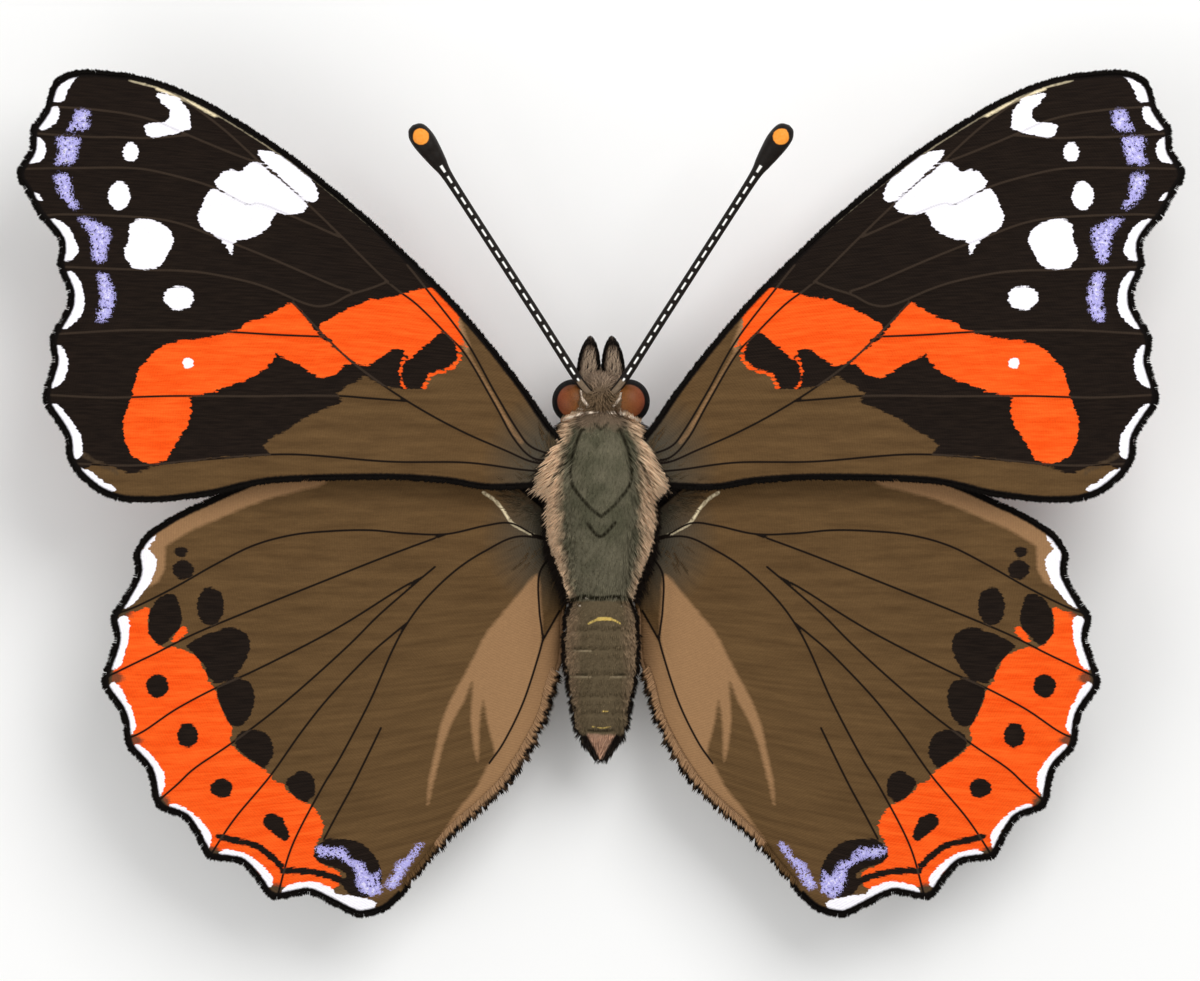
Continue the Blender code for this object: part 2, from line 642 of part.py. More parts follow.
def trim(bm, point, facing):
    """Cuts off what lies beyond a plane, on the side that facing points to, and closes the cut."""
    geometry = [*bm.verts, *bm.edges, *bm.faces]
    bmesh.ops.bisect_plane(
        bm, geom=geometry, plane_co=point, plane_no=facing, clear_outer=True, dist=0.0005 * MM
    )
    rim = [edge for edge in bm.edges if edge.is_boundary]
    bmesh.ops.holes_fill(bm, edges=rim)
    bmesh.ops.recalc_face_normals(bm, faces=bm.faces)


def spread_values(values, count):
    """count values read evenly from a short list of them."""
    read = []
    for i in range(count):
        place = i / (count - 1) * (len(values) - 1)
        low = min(int(place), len(values) - 2)
        read.append(values[low] + (values[low + 1] - values[low]) * (place - low))
    return read


def make_limb(name, joints, half_widths, planes, material, nodes):
    """A piece of leg as a tube, trimmed to the planes where it meets its neighbours."""
    steps = max(2, len(joints), len(half_widths))
    line = []
    for i in range(steps):
        place = i / (steps - 1) * (len(joints) - 1)
        low = min(int(place), len(joints) - 2)
        line.append(joints[low].lerp(joints[low + 1], place - low))
    bm = tube(line, [width * MM for width in spread_values(half_widths, steps)])
    for point, facing in planes:
        trim(bm, point, facing)
    return add_node(name, bm, material, nodes)


def mitre(before, joint, after):
    """The plane halfway round a joint: its point and the direction from the first piece to the second."""
    return joint, ((joint - before).normalized() + (after - joint).normalized()).normalized()


def make_walking_leg(name, side, joints, material, nodes):
    """Femur, tibia and tarsus, each its own node, that meet face to face with a gap at knee and ankle."""
    hip, knee, ankle, heel, claw = (mirrored(to_metres(joint), side) for joint in joints)
    knee_point, knee_facing = mitre(hip, knee, ankle)
    ankle_point, ankle_facing = mitre(knee, ankle, heel)
    half = GAP / 2
    overshoot = 0.6 * MM
    past_knee = knee + (knee - hip).normalized() * overshoot
    before_knee = knee - (ankle - knee).normalized() * overshoot
    past_ankle = ankle + (ankle - knee).normalized() * overshoot
    before_ankle = ankle - (heel - ankle).normalized() * overshoot
    femur = make_limb(
        f"{name}_femur", [hip, past_knee], FEMUR_WIDTHS,
        [(knee_point - knee_facing * half, knee_facing)], material, nodes,
    )
    make_limb(
        f"{name}_tibia", [before_knee, past_ankle], TIBIA_WIDTHS,
        [(knee_point + knee_facing * half, -knee_facing), (ankle_point - ankle_facing * half, ankle_facing)],
        material, nodes,
    )
    make_limb(
        f"{name}_tarsus", [before_ankle, heel, heel.lerp(claw, 0.8), claw], TARSUS_WIDTHS,
        [(ankle_point + ankle_facing * half, -ankle_facing), (Vector((0, 0, 0)), -UP)], material, nodes,
    )
    return femur


def make_head(materials, nodes, cutters, thorax, rng):
    """The head with its tuft, and the eyes, with the head and the thorax cut clear of them."""
    head = add_node("head", body_form(HEAD_SECTIONS), materials["body_hair"], nodes)
    rows = [
        {"angle": 62, "from": -6.0, "to": -4.6, "count": 4, "length": 0.7, "lie": (0.1, -1, 0.1), "bend": (40, 5)},
        {"angle": 90, "from": -6.0, "to": -4.6, "count": 4, "length": 0.8, "lie": (0, -1, 0.1), "bend": (45, 5)},
        {"angle": -60, "from": -5.9, "to": -4.7, "count": 3, "length": 0.6, "lie": (0.1, -0.6, -0.4),
         "bend": (35, 5)},
    ]
    join_pieces(head, coat(HEAD_SECTIONS, rows, rng))
    for side in (1, -1):
        centre = mirrored(to_metres(EYE_CENTRE), side)
        radii = to_metres(EYE_RADII)
        for part in (head, thorax):
            cut_by(part, ellipsoid(centre, radii, GAP), cutters)
        name = "eye_left" if side > 0 else "eye_right"
        add_node(name, ellipsoid(centre, radii), materials["eye_brown"], nodes)
    return head


def make_thorax(materials, nodes, rng):
    """The thorax with the lobes over the wing roots and its coat of locks."""
    thorax = add_node("thorax", body_form(THORAX_SECTIONS), materials["body_hair"], nodes)
    rows = [
        {"angle": 10, "from": -3.75, "to": -3.2, "count": 2, "length": 0.8, "lie": (0.9, 0.5, -0.1),
         "bend": (30, 10)},
        {"angle": 54, "from": -3.1, "to": 0.0, "count": 7, "length": 1.95, "lie": (0.9, 0.45, 0.0),
         "bend": (15, 0), "clear": above_wings},
        {"angle": 26, "spread": -8, "from": 0.75, "to": 4.7, "count": 8, "length": 1.5, "lie": (0.3, 1, 0.0),
         "bend": (28, 8), "clear": above_wings},
        {"angle": 66, "from": -3.0, "to": 4.0, "count": 5, "length": 1.5, "lie": (0.15, 1, 0), "bend": (24, 0)},
        {"angle": 90, "from": -3.2, "to": 4.4, "count": 5, "length": 1.4, "lie": (0, 1, 0), "bend": (24, 0)},
        {"angle": -34, "from": -3.0, "to": 3.6, "count": 5, "length": 1.3, "lie": (0.2, 1, -0.3),
         "bend": (26, 6)},
        {"angle": -58, "from": -3.0, "to": 4.6, "count": 4, "length": 1.2, "lie": (0.1, 1, -0.2),
         "bend": (24, 4)},
    ]
    lobes = [
        ellipsoid(mirrored(to_metres(TEGULA_CENTRE), side), to_metres(TEGULA_SIZE), around=12, along=8)
        for side in (1, -1)
    ]
    join_pieces(thorax, lobes + coat(THORAX_SECTIONS, rows, rng))
    return thorax


def ringed(sections):
    """The abdomen's sections with the step at each ring, where one segment's edge lies over the next."""
    stepped = []
    for section in sections_at_steps(sections, SECTION_STEP):
        stepped.append(section)
    for ring in ABDOMEN_RINGS:
        i = sum(1 for section in stepped if section[0] < ring)
        before, after = stepped[i - 1], stepped[i]
        share = (ring - before[0]) / (after[0] - before[0])
        edge = [a + (b - a) * share for a, b in zip(before, after)]
        waist = [
            edge[0] + RING_LENGTH / MM, edge[1] - RING_DEPTH / MM, edge[2] - RING_DEPTH / MM, edge[3],
            edge[4] + RING_DEPTH / MM,
        ]
        stepped[i - 1:i + 1] = [before, edge, waist, after] if waist[0] < after[0] else [before, edge, waist]
    return stepped


def make_abdomen(materials, nodes, rng):
    """The abdomen in its rings, with the tuft at its tip."""
    rings = []
    for section in ringed(ABDOMEN_SECTIONS):
        angles = [2 * math.pi * i / SIDES_OF_BODY for i in range(SIDES_OF_BODY)]
        rings.append([section_point(section, angle) for angle in angles])
    last = ABDOMEN_SECTIONS[-1]
    form = loft(rings, tip=to_metres((0, last[0] + 0.38, last[3])))
    abdomen = add_node("abdomen", form, materials["abdomen_hair"], nodes)
    rows = [
        {"angle": a, "from": 12.85, "to": 13.05, "count": 1, "length": 0.9, "lie": (-0.25, 1, 0), "bend": (12, 0)}
        for a in (8, 50, 90, -45)
    ]
    join_pieces(abdomen, coat(ABDOMEN_SECTIONS, rows, rng))
    return abdomen


def make_palp(name, side, materials, nodes, cutters, rng):
    """A palp: a bristly spindle in front of the face."""
    line = smooth_line([mirrored(to_metres(p), side) for p in PALP_LINE], 0.45 * MM)
    widths = spread_values(PALP_WIDTHS, len(line))
    palp = add_node(name, tube(line, [w * MM for w in widths], PALP_FLATNESS), materials["body_hair"], nodes)
    cut_by(palp, body_form(HEAD_SECTIONS, GAP), cutters)
    return palp


def make_antenna(name, side, materials, nodes, cutters):
    """An antenna: a thin straight shaft with a club at its end."""
    points = [mirrored(to_metres(p), side) for p in ANTENNA_LINE]
    shaft_end = 5
    line = smooth_line(points[:shaft_end + 1], ANTENNA_STEP)
    widths = spread_values(ANTENNA_WIDTHS[:shaft_end + 1], len(line))
    club = smooth_line(points[shaft_end:], 0.4 * MM)
    line += club[1:]
    widths += spread_values(ANTENNA_WIDTHS[shaft_end:], len(club))[1:]
    antenna = add_node(name, tube(line, [w * MM for w in widths]), materials["antenna_dark"], nodes)
    cut_by(antenna, body_form(HEAD_SECTIONS, GAP), cutters)
    return antenna


def make_proboscis(materials, nodes, cutters):
    """The tongue, rolled up under the head in nearly one turn."""
    y, z = PROBOSCIS_CENTRE
    inner, outer = PROBOSCIS_RADIUS
    line = [to_metres((0, *PROBOSCIS_ROOT))]
    for i in range(PROBOSCIS_POINTS):
        share = i / (PROBOSCIS_POINTS - 1)
        angle = math.radians(PROBOSCIS_TURN[1] + (PROBOSCIS_TURN[0] - PROBOSCIS_TURN[1]) * share)
        radius = outer + (inner - outer) * share
        line.append(to_metres((0, y + radius * math.cos(angle), z + radius * math.sin(angle))))
    proboscis = add_node(
        "proboscis", tube(line, [PROBOSCIS_WIDTH] * len(line)), materials["antenna_dark"], nodes
    )
    cut_by(proboscis, body_form(HEAD_SECTIONS, GAP), cutters)
    return proboscis


def make_wings(materials, nodes, cutters, rng):
    """Both pairs of wings, with their roots cut to meet the sides of the thorax."""
    def curve(points, step):
        return smooth_line([to_metres(p) for p in points], step)

    front = curve(FOREWING_FRONT, EDGE_STEP)
    fore_outline = closed_outline([front, curve(FOREWING_OUTER, MARGIN_STEP), curve(FOREWING_HIND, EDGE_STEP)])
    hind_front = curve(HINDWING_FRONT, EDGE_STEP)
    inner = fringed(curve(HINDWING_INNER, FRINGE_STEP), rng)
    hind_outline = closed_outline(
        [hind_front, curve(HINDWING_OUTER, MARGIN_STEP), inner, curve(HINDWING_ROOT, EDGE_STEP)]
    )
    brown = materials["wing_brown"]
    for side, word in ((1, "left"), (-1, "right")):
        wings = [
            make_wing(f"forewing_{word}", side, fore_outline, FOREWING_VEINS, front, forewing_z, brown, nodes),
            make_wing(
                f"hindwing_{word}", side, hind_outline, HINDWING_VEINS, hind_front, hindwing_z, brown, nodes
            ),
        ]
        for wing in wings:
            cut_by(wing, body_form(THORAX_SECTIONS, GAP), cutters)


def make_legs(materials, nodes, cutters, thorax):
    """Four walking legs and the two short folded forelegs, with the coat cut clear round their roots."""
    brown = materials["leg_brown"]
    for side, word in ((1, "left"), (-1, "right")):
        for pair, joints in (("middle", MIDDLE_LEG), ("hind", HIND_LEG)):
            femur = make_walking_leg(f"leg_{pair}_{word}", side, joints, brown, nodes)
            cut_by(femur, body_form(THORAX_SECTIONS, GAP), cutters)
        points = [mirrored(to_metres(p), side) for p in FORELEG]
        line = smooth_line(points, 0.6 * MM)
        widths = [w * MM for w in spread_values(FORELEG_WIDTHS, len(line))]
        foreleg = add_node(f"foreleg_{word}", tube(line, widths), brown, nodes)
        cut_by(foreleg, body_form(THORAX_SECTIONS, GAP), cutters)
        reach = [mirrored(to_metres(p), side) for p in (MIDDLE_LEG[0], MIDDLE_LEG[1])]
        hind_reach = [mirrored(to_metres(p), side) for p in (HIND_LEG[0], HIND_LEG[1])]
        for ends, half_width in ((reach, 0.4), (hind_reach, 0.4), (points[:2], 0.36)):
            root = outside_thorax(ends)
            cut_by(thorax, tube([root, ends[1]], [half_width * MM + GAP] * 2), cutters)


def outside_thorax(ends):
    """Where a limb comes out of the thorax's skin, a little before it."""
    for i in range(40):
        point = ends[0].lerp(ends[1], i / 40)
        y = max(THORAX_SECTIONS[0][0] * MM, min(THORAX_SECTIONS[-1][0] * MM, point.y))
        skin, facing = surface_at(THORAX_SECTIONS, y, math.atan2(point.z - 5.2 * MM, point.x))
        if (point - skin).dot(facing) > -0.15 * MM:
            return point
    return ends[0]


def build():
    clear_scene()
    rng = random.Random(SEED)
    nodes = new_collection("red_admiral")
    cutters = new_collection("cutters", hidden=True)
    materials = {name: finish(name) for name in COLOURS}
    thorax = make_thorax(materials, nodes, rng)
    make_head(materials, nodes, cutters, thorax, rng)
    make_abdomen(materials, nodes, rng)
    make_wings(materials, nodes, cutters, rng)
    for side, word in ((1, "left"), (-1, "right")):
        make_palp(f"palp_{word}", side, materials, nodes, cutters, rng)
        make_antenna(f"antenna_{word}", side, materials, nodes, cutters)
    make_proboscis(materials, nodes, cutters)
    make_legs(materials, nodes, cutters, thorax)


build()
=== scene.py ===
"""Red admiral butterfly in its natural colours, seen straight from above on a plain pale floor.

The frame gives the size: every length below is in millimetres of a butterfly with the natural span,
and MM turns it into metres. The head faces -Y, and the butterfly's left side is at +X.
"""

from __future__ import annotations

import logging
import math
from dataclasses import dataclass, field
from enum import Enum
from typing import Callable, Mapping, Sequence

import bpy
import numpy as np
from bpy.types import ColorRamp, Material, Node, NodeSocket, NodeTree, Object
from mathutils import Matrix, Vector
from mathutils.geometry import delaunay_2d_cdt


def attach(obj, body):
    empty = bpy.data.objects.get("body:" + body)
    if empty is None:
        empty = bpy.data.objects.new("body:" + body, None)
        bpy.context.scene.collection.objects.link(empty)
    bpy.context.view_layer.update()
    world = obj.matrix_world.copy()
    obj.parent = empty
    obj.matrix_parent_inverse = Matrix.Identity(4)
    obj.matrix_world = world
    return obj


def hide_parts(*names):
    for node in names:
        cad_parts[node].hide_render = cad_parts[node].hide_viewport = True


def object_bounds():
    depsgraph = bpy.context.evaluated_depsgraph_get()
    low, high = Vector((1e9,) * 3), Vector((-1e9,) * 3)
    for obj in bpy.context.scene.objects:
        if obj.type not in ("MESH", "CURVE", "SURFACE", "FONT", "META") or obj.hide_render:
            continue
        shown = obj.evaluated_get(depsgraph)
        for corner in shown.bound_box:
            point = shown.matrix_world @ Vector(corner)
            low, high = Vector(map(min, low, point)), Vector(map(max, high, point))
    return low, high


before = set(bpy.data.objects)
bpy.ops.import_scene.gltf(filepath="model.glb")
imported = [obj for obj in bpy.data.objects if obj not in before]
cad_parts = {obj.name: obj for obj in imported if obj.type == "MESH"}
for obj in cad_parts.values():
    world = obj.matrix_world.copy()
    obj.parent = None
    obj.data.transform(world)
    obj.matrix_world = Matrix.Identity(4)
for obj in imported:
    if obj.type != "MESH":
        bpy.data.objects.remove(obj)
CAD_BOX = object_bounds()

log = logging.getLogger("red_admiral")

NATURAL_SPAN = 60.3
MM = (CAD_BOX[1].x - CAD_BOX[0].x) / NATURAL_SPAN
BODY = "root"
FAR = 3.0
TURN = 2 * math.pi

Array = np.ndarray
Line = Sequence[tuple[float, float]]
Point = tuple[float, float, float]
Colour = tuple[float, float, float, float]


class Side(Enum):
    """A side of the butterfly, with the sign that X has there."""

    LEFT = 1
    RIGHT = -1

    @property
    def word(self) -> str:
        """The side's name, as the nodes of the frame spell it."""
        return self.name.lower()


class Face(Enum):
    """A face of a wing, with the index of its material."""

    UPPER = 0
    UNDER = 1


def shade(code: str) -> Colour:
    """Turns a screen colour such as "#5f472b" into the linear colour that a shader takes."""
    parts = [int(code[i:i + 2], 16) / 255 for i in (1, 3, 5)]
    return (*(c / 12.92 if c <= 0.04045 else ((c + 0.055) / 1.055) ** 2.4 for c in parts), 1.0)


def path(*hundredths: int) -> Line:
    """The points whose x and y, in turn, are these hundredths of a millimetre."""
    return [(x / 100, y / 100) for x, y in zip(hundredths[::2], hundredths[1::2])]


def unit(vectors: Array) -> Array:
    """The same directions with length 1."""
    return vectors / np.maximum(np.linalg.norm(vectors, axis=-1, keepdims=True), 1e-9)


def ramp(values: Array, low: float, width: float) -> Array:
    """0 up to low and 1 from a width above it, in a straight line between them."""
    return np.clip((values - low) / width, 0, 1)


def smooth_line(points: Line, step: float, closed: bool = False) -> Array:
    """Samples a smooth curve through points.

    Args:
        points: The points that the curve goes through, in order.
        step: The distance between samples.
        closed: Whether the curve returns to its first point.

    Returns:
        The samples, one row each. A closed curve doesn't repeat its first one.
    """
    p = np.asarray(points, float)
    if closed:
        p = np.vstack([p[-1:], p, p[:2]])
    else:
        p = np.vstack([2 * p[:1] - p[1:2], p, 2 * p[-1:] - p[-2:-1]])
    pieces = []
    for a, b, c, d in zip(p, p[1:], p[2:], p[3:]):
        count = max(1, round(float(np.linalg.norm(c - b)) / step))
        t = (np.arange(count) / count)[:, None]
        pieces.append(
            0.5 * (2 * b + (c - a) * t + (2 * a - 5 * b + 4 * c - d) * t ** 2
                   + (3 * b - a - 3 * c + d) * t ** 3)
        )
    if not closed:
        pieces.append(p[-2:-1])
    return np.vstack(pieces)


def line_distance(points: Array, line: Array, closed: bool = False) -> Array:
    """Measures from points to the nearest place of a line.

    Args:
        points: The points, one row each.
        line: The line's samples.
        closed: Whether it returns to its first sample.

    Returns:
        The distance of each point.
    """
    start = line if closed else line[:-1]
    along = (np.roll(line, -1, axis=0) if closed else line[1:]) - start
    length = np.maximum((along ** 2).sum(axis=1), 1e-12)
    nearest = np.empty(len(points))
    chunk = 4000
    for i in range(0, len(points), chunk):
        offset = points[i:i + chunk, None] - start[None]
        share = np.clip((offset * along).sum(axis=2) / length, 0, 1)
        gap = offset - share[..., None] * along
        nearest[i:i + chunk] = np.sqrt((gap ** 2).sum(axis=2).min(axis=1))
    return nearest


def signed_distance(points: Array, loop: Array) -> Array:
    """Measures from points to a closed loop.

    Args:
        points: The points, one row each.
        loop: The loop's samples.

    Returns:
        The distance of each point, below zero inside the loop.
    """
    inside = np.zeros(len(points), bool)
    for (ax, ay), (bx, by) in zip(loop, np.roll(loop, -1, axis=0)):
        if ay != by:
            crosses = (ay > points[:, 1]) != (by > points[:, 1])
            inside ^= crosses & (points[:, 0] < ax + (bx - ax) * (points[:, 1] - ay) / (by - ay))
    return line_distance(points, loop, closed=True) * np.where(inside, -1, 1)


@dataclass(frozen=True)
class Patch:
    """An area of one colour with a smooth closed edge."""

    points: Line
    step: float = 0.35

    def distance(self, at: Array) -> Array:
        """The distance to the area's edge, below zero inside it."""
        return signed_distance(at, smooth_line(self.points, self.step, closed=True))


@dataclass(frozen=True)
class Spot:
    """An oval spot: its centre and its half widths across and along the body."""

    centre: tuple[float, float]
    half: tuple[float, float]

    def distance(self, at: Array) -> Array:
        """Nearly the distance to the spot's edge, below zero inside it."""
        half = np.array(self.half)
        return (np.linalg.norm((at - np.array(self.centre)) / half, axis=1) - 1) * half.min()


@dataclass(frozen=True)
class Stroke:
    """A thin line of one colour and its width."""

    points: Line
    width: float

    def distance(self, at: Array) -> Array:
        """The distance to the stroke's edge, below zero inside it."""
        return line_distance(at, smooth_line(self.points, 0.3)) - self.width / 2


Mark = Patch | Spot | Stroke


def union(marks: Sequence[Mark], at: Array) -> Array:
    """The distance from each place to the nearest of several marks, at most FAR."""
    distances = [mark.distance(at) for mark in marks]
    return np.clip(np.min([np.full(len(at), FAR), *distances], axis=0), -FAR, FAR)


class Value:
    """One number of a shader that Python's operators work on, each of them adding a Math node."""

    def __init__(self, graph: Nodes, source: NodeSocket) -> None:
        """Wraps a socket of the graph."""
        self.graph = graph
        self.source = source

    def _maths(self, operation: str, first: Number, second: Number = 0.0, clamp: bool = False) -> Value:
        """Adds a Math node.

        Args:
            operation: What it works out.
            first: The first number.
            second: The second number.
            clamp: Whether the result is kept between 0 and 1.

        Returns:
            The result.
        """
        options = {"operation": operation, "use_clamp": clamp}
        node = self.graph.make("ShaderNodeMath", options, {0: first, 1: second})
        return Value(self.graph, node.outputs[0])

    def __add__(self, other: Number) -> Value:
        """Adds a number or a value."""
        return self._maths("ADD", self, other)

    def __radd__(self, other: Number) -> Value:
        """Adds this to a number."""
        return self._maths("ADD", other, self)

    def __sub__(self, other: Number) -> Value:
        """Takes a number or a value away."""
        return self._maths("SUBTRACT", self, other)

    def __rsub__(self, other: Number) -> Value:
        """Takes this away from a number."""
        return self._maths("SUBTRACT", other, self)

    def __mul__(self, other: Number) -> Value:
        """Multiplies by a number or a value."""
        return self._maths("MULTIPLY", self, other)

    def __rmul__(self, other: Number) -> Value:
        """Multiplies a number by this."""
        return self._maths("MULTIPLY", other, self)

    def __truediv__(self, other: Number) -> Value:
        """Divides by a number or a value."""
        return self._maths("DIVIDE", self, other)

    def sine(self) -> Value:
        """The sine of this."""
        return self._maths("SINE", self)

    def absolute(self) -> Value:
        """This without its sign."""
        return self._maths("ABSOLUTE", self)

    def highest(self, other: Number) -> Value:
        """The higher of this and another."""
        return self._maths("MAXIMUM", self, other)

    def clamped(self) -> Value:
        """This kept between 0 and 1."""
        return self._maths("ADD", self, 0.0, clamp=True)

    def inside(self, softness: float) -> Value:
        """1 where this distance is below zero and 0 where it is above, with an edge of this softness."""
        return (0.5 - self / softness).clamped()

    def between(self, low: float, high: float) -> Value:
        """0 at low and 1 at high, in a straight line between them."""
        return ((self - low) / (high - low)).clamped()


Number = float | Value | NodeSocket
Paint = NodeSocket | Colour


class Nodes:
    """A node tree under construction."""

    def __init__(self, tree: NodeTree) -> None:
        """Starts on a tree."""
        self.tree = tree

    def make(
        self, kind: str, settings: Mapping[str, object] | None = None,
        sockets: Mapping[int | str, object] | None = None,
    ) -> Node:
        """Adds a node.

        Args:
            kind: The node's type.
            settings: Its properties, set first. The key "stops" takes a ramp's (place, colour) pairs.
            sockets: The numbers, colours or links of its inputs, by name or index.

        Returns:
            The node.
        """
        node = self.tree.nodes.new(kind)
        for key, value in (settings or {}).items():
            if key == "stops":
                self._set_stops(node.color_ramp, value)
            else:
                setattr(node, key, value)
        for key, value in (sockets or {}).items():
            self.join(value, node.inputs[key])
        return node

    @staticmethod
    def _set_stops(colours: ColorRamp, stops: Sequence[tuple[float, Colour]]) -> None:
        """Gives a colour ramp its stops.

        Args:
            colours: The ramp, which starts with two stops.
            stops: The place and colour of each stop.
        """
        for _ in stops[2:]:
            colours.elements.new(1.0)
        for element, (place, colour) in zip(colours.elements, stops):
            element.position, element.color = place, colour

    def join(self, value: object, target: NodeSocket) -> None:
        """Links a value or a socket to an input, or sets the input to a number or colour.

        Args:
            value: The value, socket, number or colour.
            target: The input.
        """
        source = value.source if isinstance(value, Value) else value
        if isinstance(source, NodeSocket):
            self.tree.links.new(source, target)
        else:
            target.default_value = source

    def scaled(self, vector: Paint, amount: Number) -> NodeSocket:
        """A vector, or a colour, times a number."""
        sockets = {0: vector, "Scale": amount}
        return self.make("ShaderNodeVectorMath", {"operation": "SCALE"}, sockets).outputs[0]


class Graph(Nodes):
    """The nodes of one material."""

    def __init__(self, name: str) -> None:
        """Starts a material with nothing but its shader.

        Args:
            name: The material's name.
        """
        self.material = bpy.data.materials.new(name)
        self.material.use_nodes = True
        super().__init__(self.material.node_tree)
        self.shader = self.tree.nodes["Principled BSDF"]

    def attribute(self, name: str) -> Value:
        """The number that the mesh stores at each point under this name."""
        node = self.make("ShaderNodeAttribute", {"attribute_name": name})
        return Value(self, node.outputs["Fac"])

    def place(self) -> NodeSocket:
        """The point's place in the butterfly, in millimetres."""
        return self.scaled(self.make("ShaderNodeTexCoord").outputs["Object"], 1 / MM)

    def vector(self, x: Number, y: Number) -> NodeSocket:
        """Two numbers as a vector."""
        return self.make("ShaderNodeCombineXYZ", None, {0: x, 1: y, 2: 0.0}).outputs[0]

    def parts(self, vector: NodeSocket) -> tuple[Value, Value, Value]:
        """The three numbers of a vector."""
        node = self.make("ShaderNodeSeparateXYZ", None, {0: vector})
        return tuple(Value(self, socket) for socket in node.outputs)

    def noise(self, at: NodeSocket, scale: float, detail: float = 2.0, rough: float = 0.5) -> Value:
        """Soft random noise about 0.5."""
        sockets = {"Vector": at, "Scale": scale, "Detail": detail, "Roughness": rough}
        return Value(self, self.make("ShaderNodeTexNoise", None, sockets).outputs["Fac"])

    def cells(self, at: NodeSocket, scale: float) -> Value:
        """The distance to the middle of the nearest cell of a random pattern."""
        sockets = {"Vector": at, "Scale": scale}
        return Value(self, self.make("ShaderNodeTexVoronoi", None, sockets).outputs["Distance"])

    def mix(self, share: Number, first: Paint, second: Paint) -> NodeSocket:
        """Mixes two colours."""
        sockets = {0: share, 6: first, 7: second}
        return self.make("ShaderNodeMix", {"data_type": "RGBA"}, sockets).outputs[2]

    def painted(self, colour: Paint, code: str, share: Number) -> NodeSocket:
        """A colour with this share of a screen colour laid over it."""
        return self.mix(share, colour, shade(code))

    def ramped(self, share: Number, stops: Sequence[tuple[float, str]]) -> NodeSocket:
        """The colour at this share of a row of screen colours."""
        colours = {"stops": [(place, shade(code)) for place, code in stops]}
        return self.make("ShaderNodeValToRGB", colours, {0: share}).outputs[0]

    def finish(
        self, colour: Paint, rough: Number, height: Value | None = None, depth: float = 0.0,
        **constants: float,
    ) -> Material:
        """Joins the colour, roughness and relief to the shader.

        Args:
            colour: The base colour.
            rough: The roughness.
            height: The relief, from 0 to 1.
            depth: How high the relief stands, in millimetres.
            **constants: Other inputs of the shader, with underscores for spaces.

        Returns:
            The material.
        """
        self.join(colour, self.shader.inputs["Base Color"])
        self.join(rough, self.shader.inputs["Roughness"])
        if height is not None:
            sockets = {"Height": height, "Strength": 1.0, "Distance": depth * MM}
            self.join(self.make("ShaderNodeBump", None, sockets).outputs[0], self.shader.inputs["Normal"])
        for name, value in constants.items():
            self.shader.inputs[name.replace("_", " ")].default_value = value
        return self.material


def make_piece(name: str, points: Array, faces: Sequence[Sequence[int]], smooth: bool = True) -> Object:
    """Makes an object at the origin from points in millimetres.

    Args:
        name: The object's name.
        points: Its points, one row each, in millimetres.
        faces: The corners of each face, anticlockwise from outside.
        smooth: Whether the faces are shaded as one smooth surface.

    Returns:
        The object, in the scene.
    """
    mesh = bpy.data.meshes.new(name)
    mesh.from_pydata((np.asarray(points) * MM).tolist(), [], faces)
    if smooth:
        mesh.shade_smooth()
    return show(name, mesh)


def show(name: str, data: bpy.types.ID) -> Object:
    """Puts an object in the scene.

    Args:
        name: The object's name.
        data: Its mesh, lamp or camera.

    Returns:
        The object.
    """
    item = bpy.data.objects.new(name, data)
    bpy.context.scene.collection.objects.link(item)
    return item


def store(item: Object, **layers: Array) -> None:
    """Stores numbers, or vectors, for the points of an object's mesh.

    Args:
        item: The object.
        **layers: The values of each attribute, one number or one row of three for each point.
    """
    for name, values in layers.items():
        kind, key = ("FLOAT_VECTOR", "vector") if values.ndim == 2 else ("FLOAT", "value")
        layer = item.data.attributes.new(name, kind, "POINT")
        layer.data.foreach_set(key, np.ascontiguousarray(values, np.float32).ravel())


def hand_in(item: Object, slot: str, *nodes: str) -> Object:
    """Rides a finished piece on the body, and logs it.

    Args:
        item: The piece.
        slot: The material slot that it belongs to. Not used.
        *nodes: The nodes that it stands for.

    Returns:
        The piece.
    """
    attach(item, BODY)
    if nodes:
        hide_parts(*nodes)
    log.info("%s: %d faces", item.name, len(item.data.polygons))
    return item


@dataclass(frozen=True)
class Tuft:
    """A few tapering three-sided hairs from one root, 1 long, grown along Z with Y away from the skin."""

    hairs: int
    width: float
    spread: float = 0.3
    droop: float = 0.2
    shoulder: float = 0.8
    seed: int = 3
    golden_turn: float = 2.4

    def build(self) -> Object:
        """Makes the tuft.

        Returns:
            The tuft, with how far up its hair each point lies, and its place on the tuft's patch.
        """
        rng = np.random.default_rng(self.seed)
        points, faces, tips, patch = [], [], [], []
        for index in range(self.hairs):
            turn = self.golden_turn * index
            root = np.array([math.cos(turn), 0.5 * math.sin(turn), 0]) * self.width * math.sqrt(index)
            lean = np.array([rng.uniform(-1, 1), rng.uniform(-0.35, 0.6), 0]) * self.spread
            reach = rng.uniform(0.72, 1.0)
            first = len(points)
            for share, wide in ((0.0, 0.75), (0.55, self.shoulder), (1.0, 0.0)):
                middle = root + lean * share * reach + np.array([0, -self.droop * share ** 2, reach * share])
                for corner in range(3 if wide else 1):
                    angle = TURN * corner / 3 + turn
                    ring = np.array([math.cos(angle), math.sin(angle), 0]) * self.width * wide / 2
                    points.append(middle + ring)
                    tips.append(share)
                    patch.append(((index + 0.5) / self.hairs, share, 0.0))
            for k in range(3):
                n = (k + 1) % 3
                faces.append([first + k, first + n, first + 3 + n, first + 3 + k])
                faces.append([first + 3 + k, first + 3 + n, first + 6])
        tuft = make_piece("tuft", np.array(points) / MM, faces)
        store(tuft, tip=np.array(tips), patch=np.array(patch))
        return tuft


